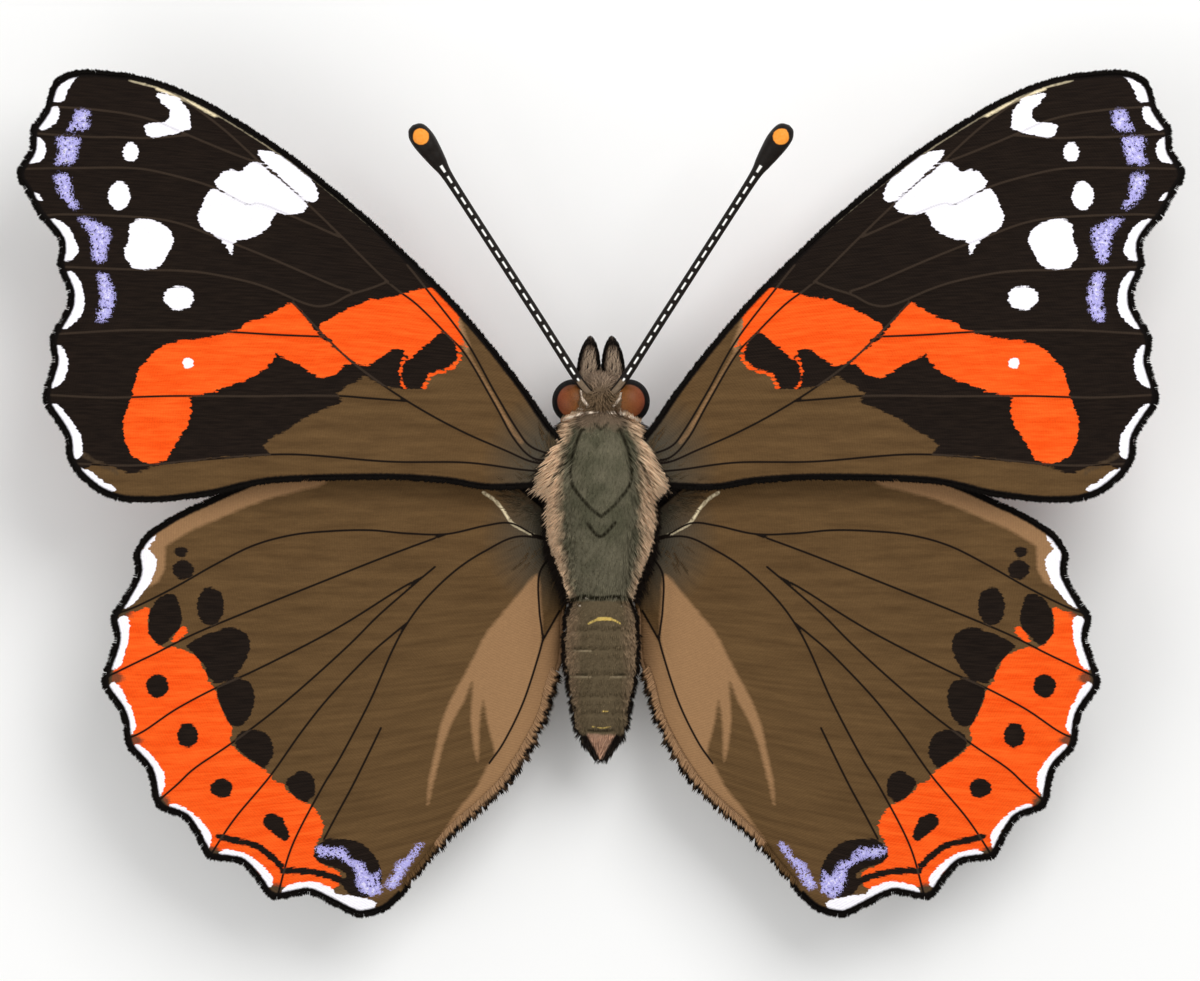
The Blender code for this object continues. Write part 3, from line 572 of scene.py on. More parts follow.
class TuftNodes(Nodes):
    """The node group that stands a tuft on each planted point, maps it for baking and dresses it."""

    INPUTS = {"Planting": "Geometry", "Tuft": "Object", "Finish": "Material", "Size": "Float", "Seed": "Int"}
    SIZES = (0.85, 1.15)
    PATCH = 0.003

    def __init__(self) -> None:
        """Builds the group."""
        super().__init__(bpy.data.node_groups.new("stand_tufts", "GeometryNodeTree"))
        face = self.tree.interface
        face.new_socket("Geometry", in_out="OUTPUT", socket_type="NodeSocketGeometry")
        self.keys = {
            name: face.new_socket(name, in_out="INPUT", socket_type=f"NodeSocket{kind}").identifier
            for name, kind in self.INPUTS.items()
        }
        entry = self.make("NodeGroupInput").outputs
        turned_way = self.make(
            "FunctionNodeAxesToRotation", {"primary_axis": "Z", "secondary_axis": "Y"},
            {0: self._stored("lie", "FLOAT_VECTOR"), 1: self._stored("facing", "FLOAT_VECTOR")},
        )
        vary = self.make("FunctionNodeRandomValue", None, {"Seed": entry["Seed"]})
        for socket, limit in zip([s for s in vary.inputs if s.enabled and s.type == "VALUE"], self.SIZES):
            socket.default_value = limit
        chance = Value(self, next(s for s in vary.outputs if s.enabled))
        size = Value(self, self._stored("length", "FLOAT")) * Value(self, entry["Size"]) * chance
        shape = self.make("GeometryNodeObjectInfo", None, {"Object": entry["Tuft"]})
        stood = self.make("GeometryNodeInstanceOnPoints", None, {
            "Points": entry["Planting"],
            "Instance": shape.outputs["Geometry"],
            "Rotation": turned_way.outputs[0],
            "Scale": size,
        })
        solid = self.make("GeometryNodeRealizeInstances", None, {0: stood.outputs[0]})
        spot = self.scaled(self._stored("patch", "FLOAT_VECTOR"), self.PATCH)
        place = self.make("ShaderNodeVectorMath", {"operation": "ADD"},
                          {0: self._stored("unwrap", "FLOAT_VECTOR"), 1: spot})
        mapped = self.make("GeometryNodeStoreNamedAttribute", {"data_type": "FLOAT2", "domain": "CORNER"}, {
            "Geometry": solid.outputs[0], "Name": "OFBake", "Value": place.outputs[0],
        })
        dressed = self.make("GeometryNodeSetMaterial", None,
                            {"Geometry": mapped.outputs[0], "Material": entry["Finish"]})
        self.make("NodeGroupOutput", None, {0: dressed.outputs[0]})

    def _stored(self, name: str, kind: str) -> NodeSocket:
        """What the mesh stores under this name."""
        node = self.make("GeometryNodeInputNamedAttribute", {"data_type": kind}, {"Name": name})
        return next(socket for socket in node.outputs if socket.enabled)


@dataclass
class Planting:
    """Where tufts stand, how each lies and faces, its length, and its place on an unwrap of the skin."""

    root: Array
    lie: Array
    facing: Array
    length: Array
    unwrap: Array
    carried: dict[str, Array] = field(default_factory=dict)

    PLACES = ("root", "lie", "facing", "length", "unwrap")

    def kept(self, choice: Array) -> Planting:
        """The tufts that the choice keeps."""
        carried = {name: values[choice] for name, values in self.carried.items()}
        return Planting(*(getattr(self, name)[choice] for name in self.PLACES), carried)

    def joined(self, *others: Planting) -> Planting:
        """Puts tufts together.

        Args:
            *others: The tufts to add to these.

        Returns:
            All of them.
        """
        all_of = (self, *others)
        places = [np.concatenate([getattr(one, name) for one in all_of]) for name in self.PLACES]
        carried = {name: np.concatenate([one.carried[name] for one in all_of]) for name in self.carried}
        return Planting(*places, carried)

    def hued(self, hue: float) -> Planting:
        """The tufts, with this place in their hair's colours."""
        self.carried = {"hue": np.full(len(self.root), hue)}
        return self

    def lean(self, x: float | Array = 0.0, y: float | Array = 0.0, z: float | Array = 0.0) -> None:
        """Leans the tufts over by these amounts, each a number or one for each tuft."""
        self.lie = unit(self.lie + np.column_stack(np.broadcast_arrays(x, y, z, self.length)[:3]))

    def grow(
        self, name: str, slot: str, tuft: Tuft, finish: Material, nodes: Sequence[str], seed: int = 7,
    ) -> Object:
        """Stands the tufts and rides them on the body as one piece.

        Args:
            name: The piece's name.
            slot: The material slot that it belongs to.
            tuft: The tuft that stands at each root.
            finish: Its material.
            nodes: The nodes that the piece helps to stand for.
            seed: The seed of the small differences in size.

        Returns:
            The finished piece.
        """
        bed = make_piece("planting", self.root, [])
        unwrap = np.column_stack([self.unwrap, np.zeros(len(self.unwrap))])
        tone = np.random.default_rng(seed).uniform(0, 1, len(self.root))
        store(bed, lie=self.lie, facing=self.facing, length=self.length * MM, unwrap=unwrap, shade=tone,
              **self.carried)
        group, one = TuftNodes(), tuft.build()
        modifier = bed.modifiers.new("tufts", "NODES")
        modifier.node_group = group.tree
        for key, value in {"Tuft": one, "Finish": finish, "Size": 1.0, "Seed": seed}.items():
            modifier[group.keys[key]] = value
        grown = bed.evaluated_get(bpy.context.evaluated_depsgraph_get())
        mesh = bpy.data.meshes.new_from_object(grown)
        mesh.name = name
        mesh.shade_smooth()
        for used in (bed, one):
            bpy.data.objects.remove(used)
        return hand_in(show(name, mesh), slot, *nodes)


class Form:
    """A rounded body swept along a line. Along runs down it, and around turns from +X over the top."""

    extent: tuple[float, float]

    def at(self, along: Array, around: Array) -> Array:
        """The points of the surface there."""
        raise NotImplementedError

    def frame(self, along: Array, around: Array) -> tuple[Array, Array, Array]:
        """Finds places of the surface and its directions there.

        Args:
            along: How far along the form they are.
            around: Their angles round it.

        Returns:
            The points, the direction along the body and the direction outwards.
        """
        small = 0.01
        ahead = unit(self.at(along + small, around) - self.at(along - small, around))
        side = self.at(along, around + small) - self.at(along, around - small)
        return self.at(along, around), ahead, unit(np.cross(ahead, side))

    def sheet(self, step: float, sides: int) -> tuple[Array, list[list[int]], Array, Array]:
        """Covers the form with a closed mesh.

        Args:
            step: The distance between its rings.
            sides: The number of points in a ring.

        Returns:
            The points, the faces, and each point's place along and around.
        """
        start, stop = self.extent
        rings = np.linspace(start, stop, max(3, round((stop - start) / step)))
        turns = np.arange(sides) * TURN / sides
        along, around = (grid.ravel() for grid in np.meshgrid(rings, turns, indexing="ij"))
        points = self.at(along, around)
        poles = [points[:sides].mean(axis=0), points[-sides:].mean(axis=0)]
        faces, head, tail, last = [], len(points), len(points) + 1, len(points) - sides
        for row in range(0, last, sides):
            for j in range(sides):
                a, b = row + j, row + (j + 1) % sides
                faces.append([a, a + sides, b + sides, b])
        for j in range(sides):
            n = (j + 1) % sides
            faces += [[head, j, n], [tail, last + n, last + j]]
        along, around = np.append(along, [start, stop]), np.append(around, [0.0, 0.0])
        return np.vstack([points, poles]), faces, along, around

    def unwrap(self, along: Array, around: Array) -> Array:
        """The places on a flat sheet not quite one unit wide and long, for baking."""
        start, stop = self.extent
        return np.column_stack([around / TURN, (along - start) / (stop - start)]) * 0.99

    def girth(self, along: float) -> float:
        """The distance round the form at this place."""
        ring = self.at(np.full(33, along), np.linspace(0, TURN, 33))
        return float(np.linalg.norm(np.diff(ring, axis=0), axis=1).sum())

    def plant(
        self, span: tuple[float, float], spacing: float, length: float, lift: float, seed: int,
        forward: bool = False,
    ) -> Planting:
        """Spreads tufts evenly over a stretch of the form.

        Args:
            span: Where the stretch starts and ends.
            spacing: The distance between tufts.
            length: Their length.
            lift: How far they stand off the skin, as a slope.
            seed: The seed of the small differences.
            forward: Whether they point towards the start.

        Returns:
            The tufts, carrying their places along and around.
        """
        jitter, stray, depth = 0.35, 0.12, 0.03
        rng = np.random.default_rng(seed)
        along, around = [], []
        for index, row in enumerate(np.arange(span[0], span[1], spacing)):
            count = max(5, round(self.girth(row) / spacing))
            shift = rng.uniform(-jitter, jitter, count)
            around.append((np.arange(count) + 0.5 * (index % 2) + shift) * TURN / count)
            along.append(row + rng.uniform(-jitter, jitter, count) * spacing)
        along = np.clip(np.concatenate(along), *self.extent)
        around = np.concatenate(around) % TURN
        root, ahead, out = self.frame(along, around)
        aside = np.cross(ahead, out) * rng.normal(0, stray, len(along))[:, None]
        lie = unit((-ahead if forward else ahead) + out * lift + aside)
        lengths, unwrap = np.full(len(along), length), self.unwrap(along, around)
        return Planting(root - out * depth, lie, out, lengths, unwrap, {"along": along, "around": around})


@dataclass(frozen=True)
class Tube(Form):
    """A round tube of changing width along a smooth line."""

    line: Sequence[Point]
    half_widths: Sequence[float]
    tall: float = 1.0
    up: Point = (0.0, 0.0, 1.0)
    floor: float = -math.inf

    def _samples(self) -> tuple[Array, Array, Array]:
        """Samples the line finely.

        Returns:
            Its points, its half widths and the length run so far.
        """
        fine = smooth_line(np.column_stack([np.asarray(self.line, float), self.half_widths]), 0.08)
        run = np.append(0, np.cumsum(np.linalg.norm(np.diff(fine[:, :3], axis=0), axis=1)))
        return fine[:, :3], fine[:, 3], run

    @property
    def extent(self) -> tuple[float, float]:
        """Where the tube starts and ends."""
        return (0.0, float(self._samples()[2][-1]))

    def at(self, along: Array, around: Array) -> Array:
        """Finds places of the surface.

        Args:
            along: How far along the tube they are.
            around: Their angles round it.

        Returns:
            The points.
        """
        line, half, run = self._samples()

        def centre(where: Array) -> Array:
            """Finds places of the line, carried on straight past its ends.

            Args:
                where: How far along it they are.

            Returns:
                The points.
            """
            inside = np.column_stack([np.interp(where, run, line[:, k]) for k in range(3)])
            past = np.clip(where - run[-1], 0, None) + np.clip(where, None, 0)
            ends = np.where((where > 0)[:, None], unit(line[-1] - line[-2]), unit(line[1] - line[0]))
            return inside + past[:, None] * ends

        ahead = unit(centre(along + 0.06) - centre(along - 0.06))
        side = unit(np.cross(ahead, np.array(self.up)))
        rise = np.cos(around)[:, None] * side + self.tall * np.sin(around)[:, None] * np.cross(side, ahead)
        points = centre(along) + np.interp(along, run, half)[:, None] * rise
        points[:, 2] = np.maximum(points[:, 2], self.floor)
        return points


@dataclass(frozen=True)
class WingChart:
    """A wing seen from above: its outline, its veins and its marks, x outwards and y towards the tail."""

    front: Line
    outer: Line
    hind: Line
    root: tuple[float, float]
    veins: Sequence[Line]
    upper: Mapping[str, Sequence[Mark]]
    under: Mapping[str, Sequence[Mark]]

    def outline(self, step: float) -> Array:
        """The closed outline, sampled at this step, with a corner where its stretches meet."""
        return np.vstack([smooth_line(part, step)[:-1] for part in (self.front, self.outer, self.hind)])


FORE_BAND = (
    Patch(path(
        1454, -862, 1350, -929, 1242, -979, 1183, -1008, 1117, -1008, 1013, -1033, 910, -1060, 850, -1050,
        804, -1003, 754, -955, 725, -920, 738, -890, 725, -825, 692, -755, 750, -785, 820, -840, 850, -817,
        892, -775, 950, -733, 988, -692, 1017, -738, 1054, -750, 1092, -738, 1133, -704, 1167, -675,
        1208, -662, 1250, -667, 1330, -720, 1396, -792,
    )),
    Stroke(path(1005, -730, 1029, -667, 1038, -617, 1029, -567, 1005, -545), 0.14),
    Stroke(path(
        745, -780, 730, -717, 735, -690, 760, -660, 800, -638, 850, -625, 880, -615, 900, -580, 913, -550,
    ), 0.2),
    Patch(path(
        1863, -850, 1817, -887, 1730, -912, 1642, -965, 1600, -987, 1570, -965, 1520, -900, 1450, -810,
        1370, -746, 1288, -670, 1325, -658, 1367, -620, 1446, -596, 1490, -617, 1550, -658, 1600, -683,
        1683, -725, 1730, -740, 1840, -770,
    )),
    Patch(path(
        1796, -860, 1860, -850, 1950, -823, 2083, -798, 2217, -778, 2293, -743, 2330, -700, 2380, -646,
        2410, -560, 2410, -490, 2250, -495, 2075, -504, 2025, -520, 1900, -558, 1765, -620, 1700, -680,
        1680, -730, 1720, -790,
    )),
    Patch(path(
        2408, -510, 2442, -442, 2465, -350, 2446, -242, 2413, -192, 2367, -167, 2308, -156, 2240, -170,
        2220, -212, 2180, -280, 2130, -358, 2115, -420, 2133, -510, 2270, -520,
    )),
)
FORE_WHITE = (
    Patch(path(
        1770, -1770, 1700, -1765, 1620, -1725, 1550, -1667, 1500, -1629, 1465, -1567, 1460, -1535,
        1480, -1504, 1513, -1508, 1567, -1554, 1650, -1625, 1717, -1692, 1758, -1733,
    ), 0.2),
    Patch(path(
        1800, -1710, 1775, -1712, 1696, -1650, 1600, -1572, 1530, -1513, 1515, -1485, 1540, -1455,
        1600, -1440, 1660, -1445, 1730, -1480, 1800, -1485, 1890, -1520, 1990, -1595, 1980, -1630,
        1950, -1660, 1900, -1672, 1860, -1660, 1833, -1692,
    ), 0.2),
    Patch(path(
        2000, -1575, 2030, -1550, 2050, -1517, 2060, -1480, 2082, -1438, 2075, -1400, 2058, -1370,
        2017, -1346, 1980, -1320, 1940, -1285, 1906, -1230, 1895, -1290, 1880, -1310, 1820, -1315,
        1750, -1346, 1710, -1385, 1696, -1425, 1670, -1455, 1740, -1495, 1830, -1495, 1910, -1530,
    ), 0.2),
    Patch(path(
        2296, -2070, 2267, -2017, 2225, -1975, 2233, -1933, 2308, -1912, 2350, -1910, 2355, -1880,
        2330, -1842, 2250, -1843, 2167, -1867, 2117, -1885, 2125, -1930, 2120, -1962, 2154, -2012,
        2200, -2050,
    ), 0.2),
    Spot((24.28, -17.62), (0.41, 0.53)), Spot((24.85, -15.38), (0.57, 0.72)),
    Patch(path(
        2438, -1375, 2408, -1408, 2342, -1417, 2283, -1400, 2225, -1362, 2204, -1308, 2230, -1250,
        2250, -1208, 2283, -1167, 2350, -1154, 2417, -1170, 2454, -1217, 2458, -1258, 2433, -1317,
    )),
    Spot((21.78, -10.1), (0.78, 0.62)), Spot((21.3, -6.72), (0.29, 0.29)),
)
FORE_MARGIN = (
    Patch(path(
        2696, -2165, 2805, -2100, 2835, -2035, 2792, -2020, 2763, -2038, 2758, -2070, 2738, -2108,
    ), 0.2),
    Patch(path(
        2845, -1990, 2800, -1995, 2798, -1942, 2830, -1900, 2870, -1880, 2905, -1887, 2875, -1940,
    ), 0.2),
    Patch(path(
        2920, -1842, 2880, -1825, 2865, -1780, 2880, -1725, 2917, -1704, 2955, -1707, 2925, -1767,
    ), 0.2),
    Patch(path(2935, -1554, 2904, -1550, 2880, -1510, 2910, -1515), 0.2),
    Patch(path(
        2845, -1414, 2800, -1407, 2750, -1375, 2717, -1317, 2696, -1260, 2700, -1233, 2740, -1200,
        2775, -1204, 2768, -1267, 2787, -1333,
    ), 0.2),
    Patch(path(
        2763, -1138, 2720, -1138, 2683, -1083, 2666, -1010, 2670, -942, 2704, -892, 2763, -846, 2785, -856,
        2743, -942, 2728, -1020,
    ), 0.2),
    Patch(path(
        2815, -763, 2775, -754, 2750, -683, 2763, -600, 2808, -548, 2840, -554, 2812, -642, 2812, -708,
    ), 0.2),
    Patch(path(
        2840, -457, 2800, -456, 2742, -388, 2692, -317, 2675, -250, 2683, -192, 2725, -183, 2732, -267,
        2772, -350,
    ), 0.2),
    Patch(path(2690, -125, 2650, -125, 2583, -75, 2500, -20, 2550, -13, 2630, -55), 0.2),
)
FORE_LILAC = (
    Patch(path(2710, -1985, 2635, -1975, 2640, -1930, 2650, -1875, 2760, -1875, 2725, -1930)),
    Patch(path(2810, -1840, 2690, -1840, 2700, -1770, 2720, -1700, 2820, -1700, 2800, -1760)),
    Patch(path(
        2830, -1650, 2740, -1650, 2730, -1590, 2720, -1530, 2685, -1475, 2720, -1465, 2790, -1530,
        2820, -1610,
    )),
    Patch(path(
        2700, -1420, 2630, -1420, 2530, -1360, 2530, -1310, 2550, -1250, 2560, -1195, 2620, -1200,
        2630, -1280, 2650, -1350,
    )),
    Patch(path(
        2600, -1140, 2550, -1140, 2520, -1080, 2505, -1020, 2515, -960, 2540, -895, 2610, -890, 2590, -970,
        2590, -1060,
    )),
)
FORE_DARK = (Patch(path(
    725, -930, 1000, -1350, 1600, -1900, 2400, -2300, 3100, -2300, 3200, -1600, 3000, -300, 2730, -110,
    2620, -150, 2500, -135, 2420, -100, 2300, -145, 2200, -155, 2000, -180, 1800, -193, 1690, -205,
    1750, -245, 1690, -287, 1575, -362, 1467, -420, 1325, -483, 1367, -512, 1270, -575, 1225, -608,
    1130, -555, 1040, -540, 920, -540, 900, -580, 850, -625, 760, -660, 730, -720, 750, -790, 740, -880,
), 0.5),)

FOREWING = WingChart(
    front=path(
        120, -190, 258, -362, 400, -567, 600, -821, 800, -1046, 1000, -1242, 1200, -1432, 1400, -1598,
        1600, -1757, 1800, -1890, 2000, -2010, 2200, -2107, 2400, -2168, 2600, -2192, 2700, -2192,
        2790, -2165, 2840, -2115, 2867, -2033, 2877, -1990,
    ),
    outer=path(
        2877, -1990, 2917, -1930, 2947, -1890, 2950, -1817, 2957, -1770, 3000, -1700, 3017, -1658,
        3008, -1612, 2975, -1558, 2908, -1433, 2875, -1396, 2812, -1317, 2798, -1267, 2808, -1200,
        2800, -1150, 2758, -1050, 2755, -1000, 2767, -950, 2829, -842, 2846, -792, 2842, -733, 2837, -675,
        2873, -558, 2880, -508, 2871, -450, 2808, -354, 2768, -280, 2760, -200, 2742, -150, 2700, -88,
        2600, -4, 2500, 39, 2425, 52,
    ),
    hind=path(
        2425, 52, 2250, 50, 2010, 19, 1850, -20, 1700, -46, 1500, -58, 1100, -64, 800, -46, 600, -14,
        390, -18, 120, -40, 120, -190,
    ),
    root=(2.0, -1.4),
    veins=[
        path(220, -190, 358, -240, 430, -325, 550, -525, 700, -792, 900, -1054, 1000, -1180),
        path(
            220, -175, 350, -183, 450, -283, 550, -462, 696, -712, 800, -825, 950, -975, 1100, -1092,
            1367, -1354, 1530, -1510, 1650, -1620, 1760, -1710, 1960, -1890, 2180, -2050, 2350, -2140,
        ),
        path(1750, -1700, 1900, -1755, 2130, -1850, 2290, -1920, 2450, -1960, 2650, -1985, 2877, -2000),
        path(2130, -1850, 2340, -1835, 2510, -1840, 2620, -1840, 2945, -1860),
        path(
            1350, -1325, 1500, -1392, 1750, -1494, 1830, -1495, 2000, -1580, 2200, -1640, 2400, -1678,
            2700, -1680, 3005, -1675,
        ),
        path(
            1290, -1045, 1400, -1083, 1700, -1212, 2000, -1330, 2200, -1400, 2400, -1427, 2760, -1440,
            2900, -1430,
        ),
        path(
            1100, -1095, 1190, -1060, 1300, -1025, 1400, -975, 1508, -975, 1700, -1054, 1850, -1100,
            2100, -1145, 2400, -1155, 2800, -1170,
        ),
        path(1440, -810, 1650, -818, 2000, -837, 2400, -843, 2700, -829, 2830, -820),
        path(1000, -477, 1200, -492, 1400, -505, 1800, -502, 2200, -503, 2550, -495, 2875, -510),
        path(
            220, -155, 350, -162, 500, -225, 700, -312, 900, -417, 1100, -542, 1300, -692, 1442, -829,
            1590, -985,
        ),
        path(220, -110, 400, -122, 700, -160, 1100, -165, 1600, -202, 2000, -179, 2400, -145, 2735, -155),
    ],
    upper={
        "ground_dark": FORE_DARK,
        "band": FORE_BAND,
        "white": FORE_WHITE + FORE_MARGIN,
        "lilac": FORE_LILAC,
        "dark": (),
        "tan": (
            Stroke(path(690, -760, 800, -1030, 900, -1135), 0.3),
            Stroke(path(410, -265, 470, -345, 570, -520, 690, -720, 710, -770), 0.1),
        ),
        "patch": (Stroke(path(2500, -110, 2690, -220, 2760, -400), 0.2),),
        "streak": (
            Stroke(path(
                2430, -2140, 2200, -2075, 2000, -1975, 1800, -1855, 1600, -1720, 1400, -1565, 1200, -1400,
                1100, -1310,
            ), 0.22),
            Stroke(path(2290, -2095, 2200, -2060, 2100, -2015, 1990, -1955), 0.24),
        ),
    },
    under={
        "ground_dark": FORE_DARK,
        "band": FORE_BAND,
        "white": FORE_WHITE,
        "lilac": (
            Stroke(path(1240, -1190, 1300, -1140, 1340, -1090), 0.5),
            Stroke(path(1460, -1230, 1530, -1120, 1560, -1020), 0.5),
        ),
        "buff": (Patch(path(
            2200, -2130, 2450, -2060, 2600, -1900, 2620, -1650, 2540, -1300, 2530, -900, 2600, -400,
            2640, -100, 3000, 50, 3150, -800, 3200, -1700, 3000, -2250, 2500, -2300,
        ), 0.5),),
        "eyespot": (Spot((25.6, -16.9), (0.5, 0.6)), Spot((26.0, -14.9), (0.45, 0.55))),
    },
)
HIND_BAND = (
    Patch(path(
        2460, 620, 2400, 610, 2360, 595, 2330, 595, 2342, 667, 2330, 720, 2290, 775, 2260, 795, 2210, 795,
        2167, 804, 2117, 825, 2075, 867, 2050, 917, 2030, 970, 2000, 1010, 1983, 1058, 1958, 1125,
        1930, 1175, 1908, 1220, 1920, 1270, 1904, 1312, 1870, 1342, 1830, 1375, 1770, 1412, 1708, 1458,
        1700, 1485, 1650, 1500, 1625, 1537, 1560, 1587, 1510, 1612, 1480, 1640, 1450, 1683, 1438, 1733,
        1458, 1783, 1480, 1820, 1490, 1858, 1475, 1892, 1433, 1925, 1367, 1958, 1350, 1995, 1390, 2050,
        1550, 2040, 1700, 2030, 1850, 1900, 2030, 1830, 2090, 1700, 2260, 1600, 2290, 1440, 2420, 1300,
        2430, 1160, 2520, 1000, 2520, 920, 2470, 840, 2455, 730,
    ), 0.25),
    Patch(path(2225, 765, 2163, 683, 2140, 715, 2190, 765), 0.2),
)
HIND_DARK = (
    Spot((22.95, 9.95), (0.58, 0.6)), Spot((21.4, 12.53), (0.55, 0.63)), Spot((19.65, 15.25), (0.57, 0.5)),
    Patch(path(
        1754, 1692, 1725, 1663, 1667, 1667, 1633, 1717, 1613, 1775, 1638, 1800, 1692, 1767, 1742, 1725,
    ), 0.2),
    Spot((21.7, 3.0), (0.35, 0.28)), Spot((21.6, 3.95), (0.55, 0.5)),
    Patch(path(
        2275, 533, 2208, 517, 2183, 575, 2167, 633, 2175, 692, 2217, 733, 2270, 790, 2317, 758, 2343, 708,
        2342, 658, 2330, 600,
    )),
    Spot((20.2, 5.85), (0.7, 1.0)),
    Patch(path(
        2150, 795, 2075, 742, 1983, 708, 1900, 693, 1842, 717, 1817, 758, 1820, 817, 1850, 883, 1883, 933,
        1933, 967, 2000, 985, 2030, 950, 2050, 900, 2075, 860, 2117, 820,
    )),
    Patch(path(
        1985, 1010, 1925, 967, 1858, 958, 1808, 992, 1792, 1050, 1804, 1117, 1833, 1175, 1875, 1208,
        1917, 1200, 1950, 1140, 1983, 1060,
    )),
    Patch(path(
        1895, 1270, 1850, 1233, 1783, 1220, 1725, 1250, 1696, 1310, 1708, 1375, 1746, 1425, 1783, 1400,
        1833, 1365, 1880, 1325,
    )),
    Patch(path(
        1635, 1500, 1600, 1460, 1550, 1438, 1500, 1458, 1480, 1508, 1488, 1567, 1525, 1600, 1575, 1580,
        1615, 1540,
    )),
    Stroke(path(1980, 1775, 1895, 1798, 1800, 1820, 1724, 1868, 1660, 1930), 0.34),
    Stroke(path(1650, 1955, 1540, 1958, 1435, 1975, 1340, 2010), 0.34),
    Patch(path(
        1480, 1850, 1435, 1795, 1343, 1790, 1250, 1810, 1186, 1864, 1146, 1930, 1138, 2010, 1160, 2065,
        1210, 2095, 1265, 2095, 1315, 2070, 1340, 2025, 1320, 1975, 1370, 1945, 1450, 1918, 1488, 1880,
    ), 0.25),
)
HIND_LILAC = (
    Patch(path(
        1480, 1845, 1450, 1825, 1383, 1833, 1340, 1835, 1308, 1867, 1290, 1895, 1230, 1915, 1210, 1960,
        1180, 1980, 1150, 1950, 1142, 2020, 1135, 2070, 1180, 2092, 1217, 2100, 1246, 2067, 1270, 2030,
        1275, 1980, 1285, 1945, 1310, 1930, 1358, 1896, 1410, 1890, 1460, 1880,
    ), 0.2),
    Patch(path(
        1117, 2030, 1080, 1963, 1058, 1917, 1013, 1883, 983, 1850, 942, 1800, 920, 1820, 950, 1875,
        983, 1920, 1010, 1960, 1042, 2020, 1080, 2060,
    ), 0.2),
)
HIND_WHITE = (
    Patch(path(
        2380, 300, 2345, 285, 2300, 342, 2312, 417, 2340, 475, 2400, 550, 2450, 592, 2478, 596, 2430, 517,
        2388, 425, 2385, 365,
    ), 0.2),
    Patch(path(2380, 295, 2350, 250, 2300, 215, 2335, 275), 0.2),
    Patch(path(
        2505, 655, 2450, 633, 2442, 733, 2467, 842, 2488, 896, 2540, 908, 2500, 800, 2496, 725,
    ), 0.2),
    Patch(path(
        2548, 1000, 2500, 983, 2450, 1075, 2417, 1150, 2407, 1217, 2442, 1250, 2453, 1183, 2480, 1100,
    ), 0.2),
    Patch(path(
        2417, 1310, 2383, 1300, 2317, 1367, 2270, 1433, 2258, 1508, 2293, 1580, 2305, 1500, 2345, 1400,
    ), 0.2),
    Patch(path(
        2238, 1630, 2208, 1604, 2133, 1642, 2067, 1700, 2017, 1775, 2040, 1840, 2072, 1750, 2136, 1680,
    ), 0.2),
    Patch(path(
        1980, 1875, 1954, 1842, 1883, 1850, 1800, 1892, 1733, 1950, 1700, 2000, 1725, 2045, 1770, 1970,
        1850, 1905,
    ), 0.2),
    Patch(path(
        1650, 2075, 1630, 2033, 1533, 2012, 1442, 2025, 1383, 2067, 1404, 2097, 1490, 2063, 1567, 2065,
    ), 0.2),
    Patch(path(
        1400, 2078, 1317, 2083, 1233, 2100, 1170, 2120, 1183, 2160, 1233, 2172, 1317, 2147, 1400, 2110,
    ), 0.2),
)
HIND_TAN = (
    Patch(path(
        1350, -220, 1420, -60, 1580, -10, 1730, 30, 1900, 96, 2000, 140, 2100, 180, 2200, 240, 2250, 270,
        2260, 400, 2330, 480, 2460, 400, 2350, 50, 1900, -100,
    ), 0.5),
    Patch(path(
        330, 420, 408, 500, 492, 600, 596, 725, 650, 830, 708, 940, 760, 1033, 800, 1120, 833, 1210,
        870, 1383, 895, 1500, 898, 1617, 867, 1490, 842, 1400, 810, 1280, 758, 1160, 708, 1075, 667, 975,
        675, 1167, 663, 1290, 638, 1390, 630, 1200, 610, 1070, 590, 1180, 560, 1300, 535, 1360, 460, 1220,
        370, 1000, 310, 760, 310, 550,
    ), 0.3),
    Patch(path(
        210, 625, 260, 700, 300, 770, 350, 920, 400, 1070, 500, 1270, 580, 1400, 650, 1530, 740, 1640,
        800, 1730, 855, 1810, 810, 1850, 500, 1620, 300, 1320, 200, 1100, 140, 800, 150, 610,
    ), 0.3),
)
EYESPOTS = (
    Spot((22.2, 6.3), (0.9, 1.0)), Spot((21.3, 9.6), (1.0, 1.0)), Spot((19.5, 12.5), (1.0, 0.95)),
    Spot((17.2, 15.0), (1.0, 0.95)),
)

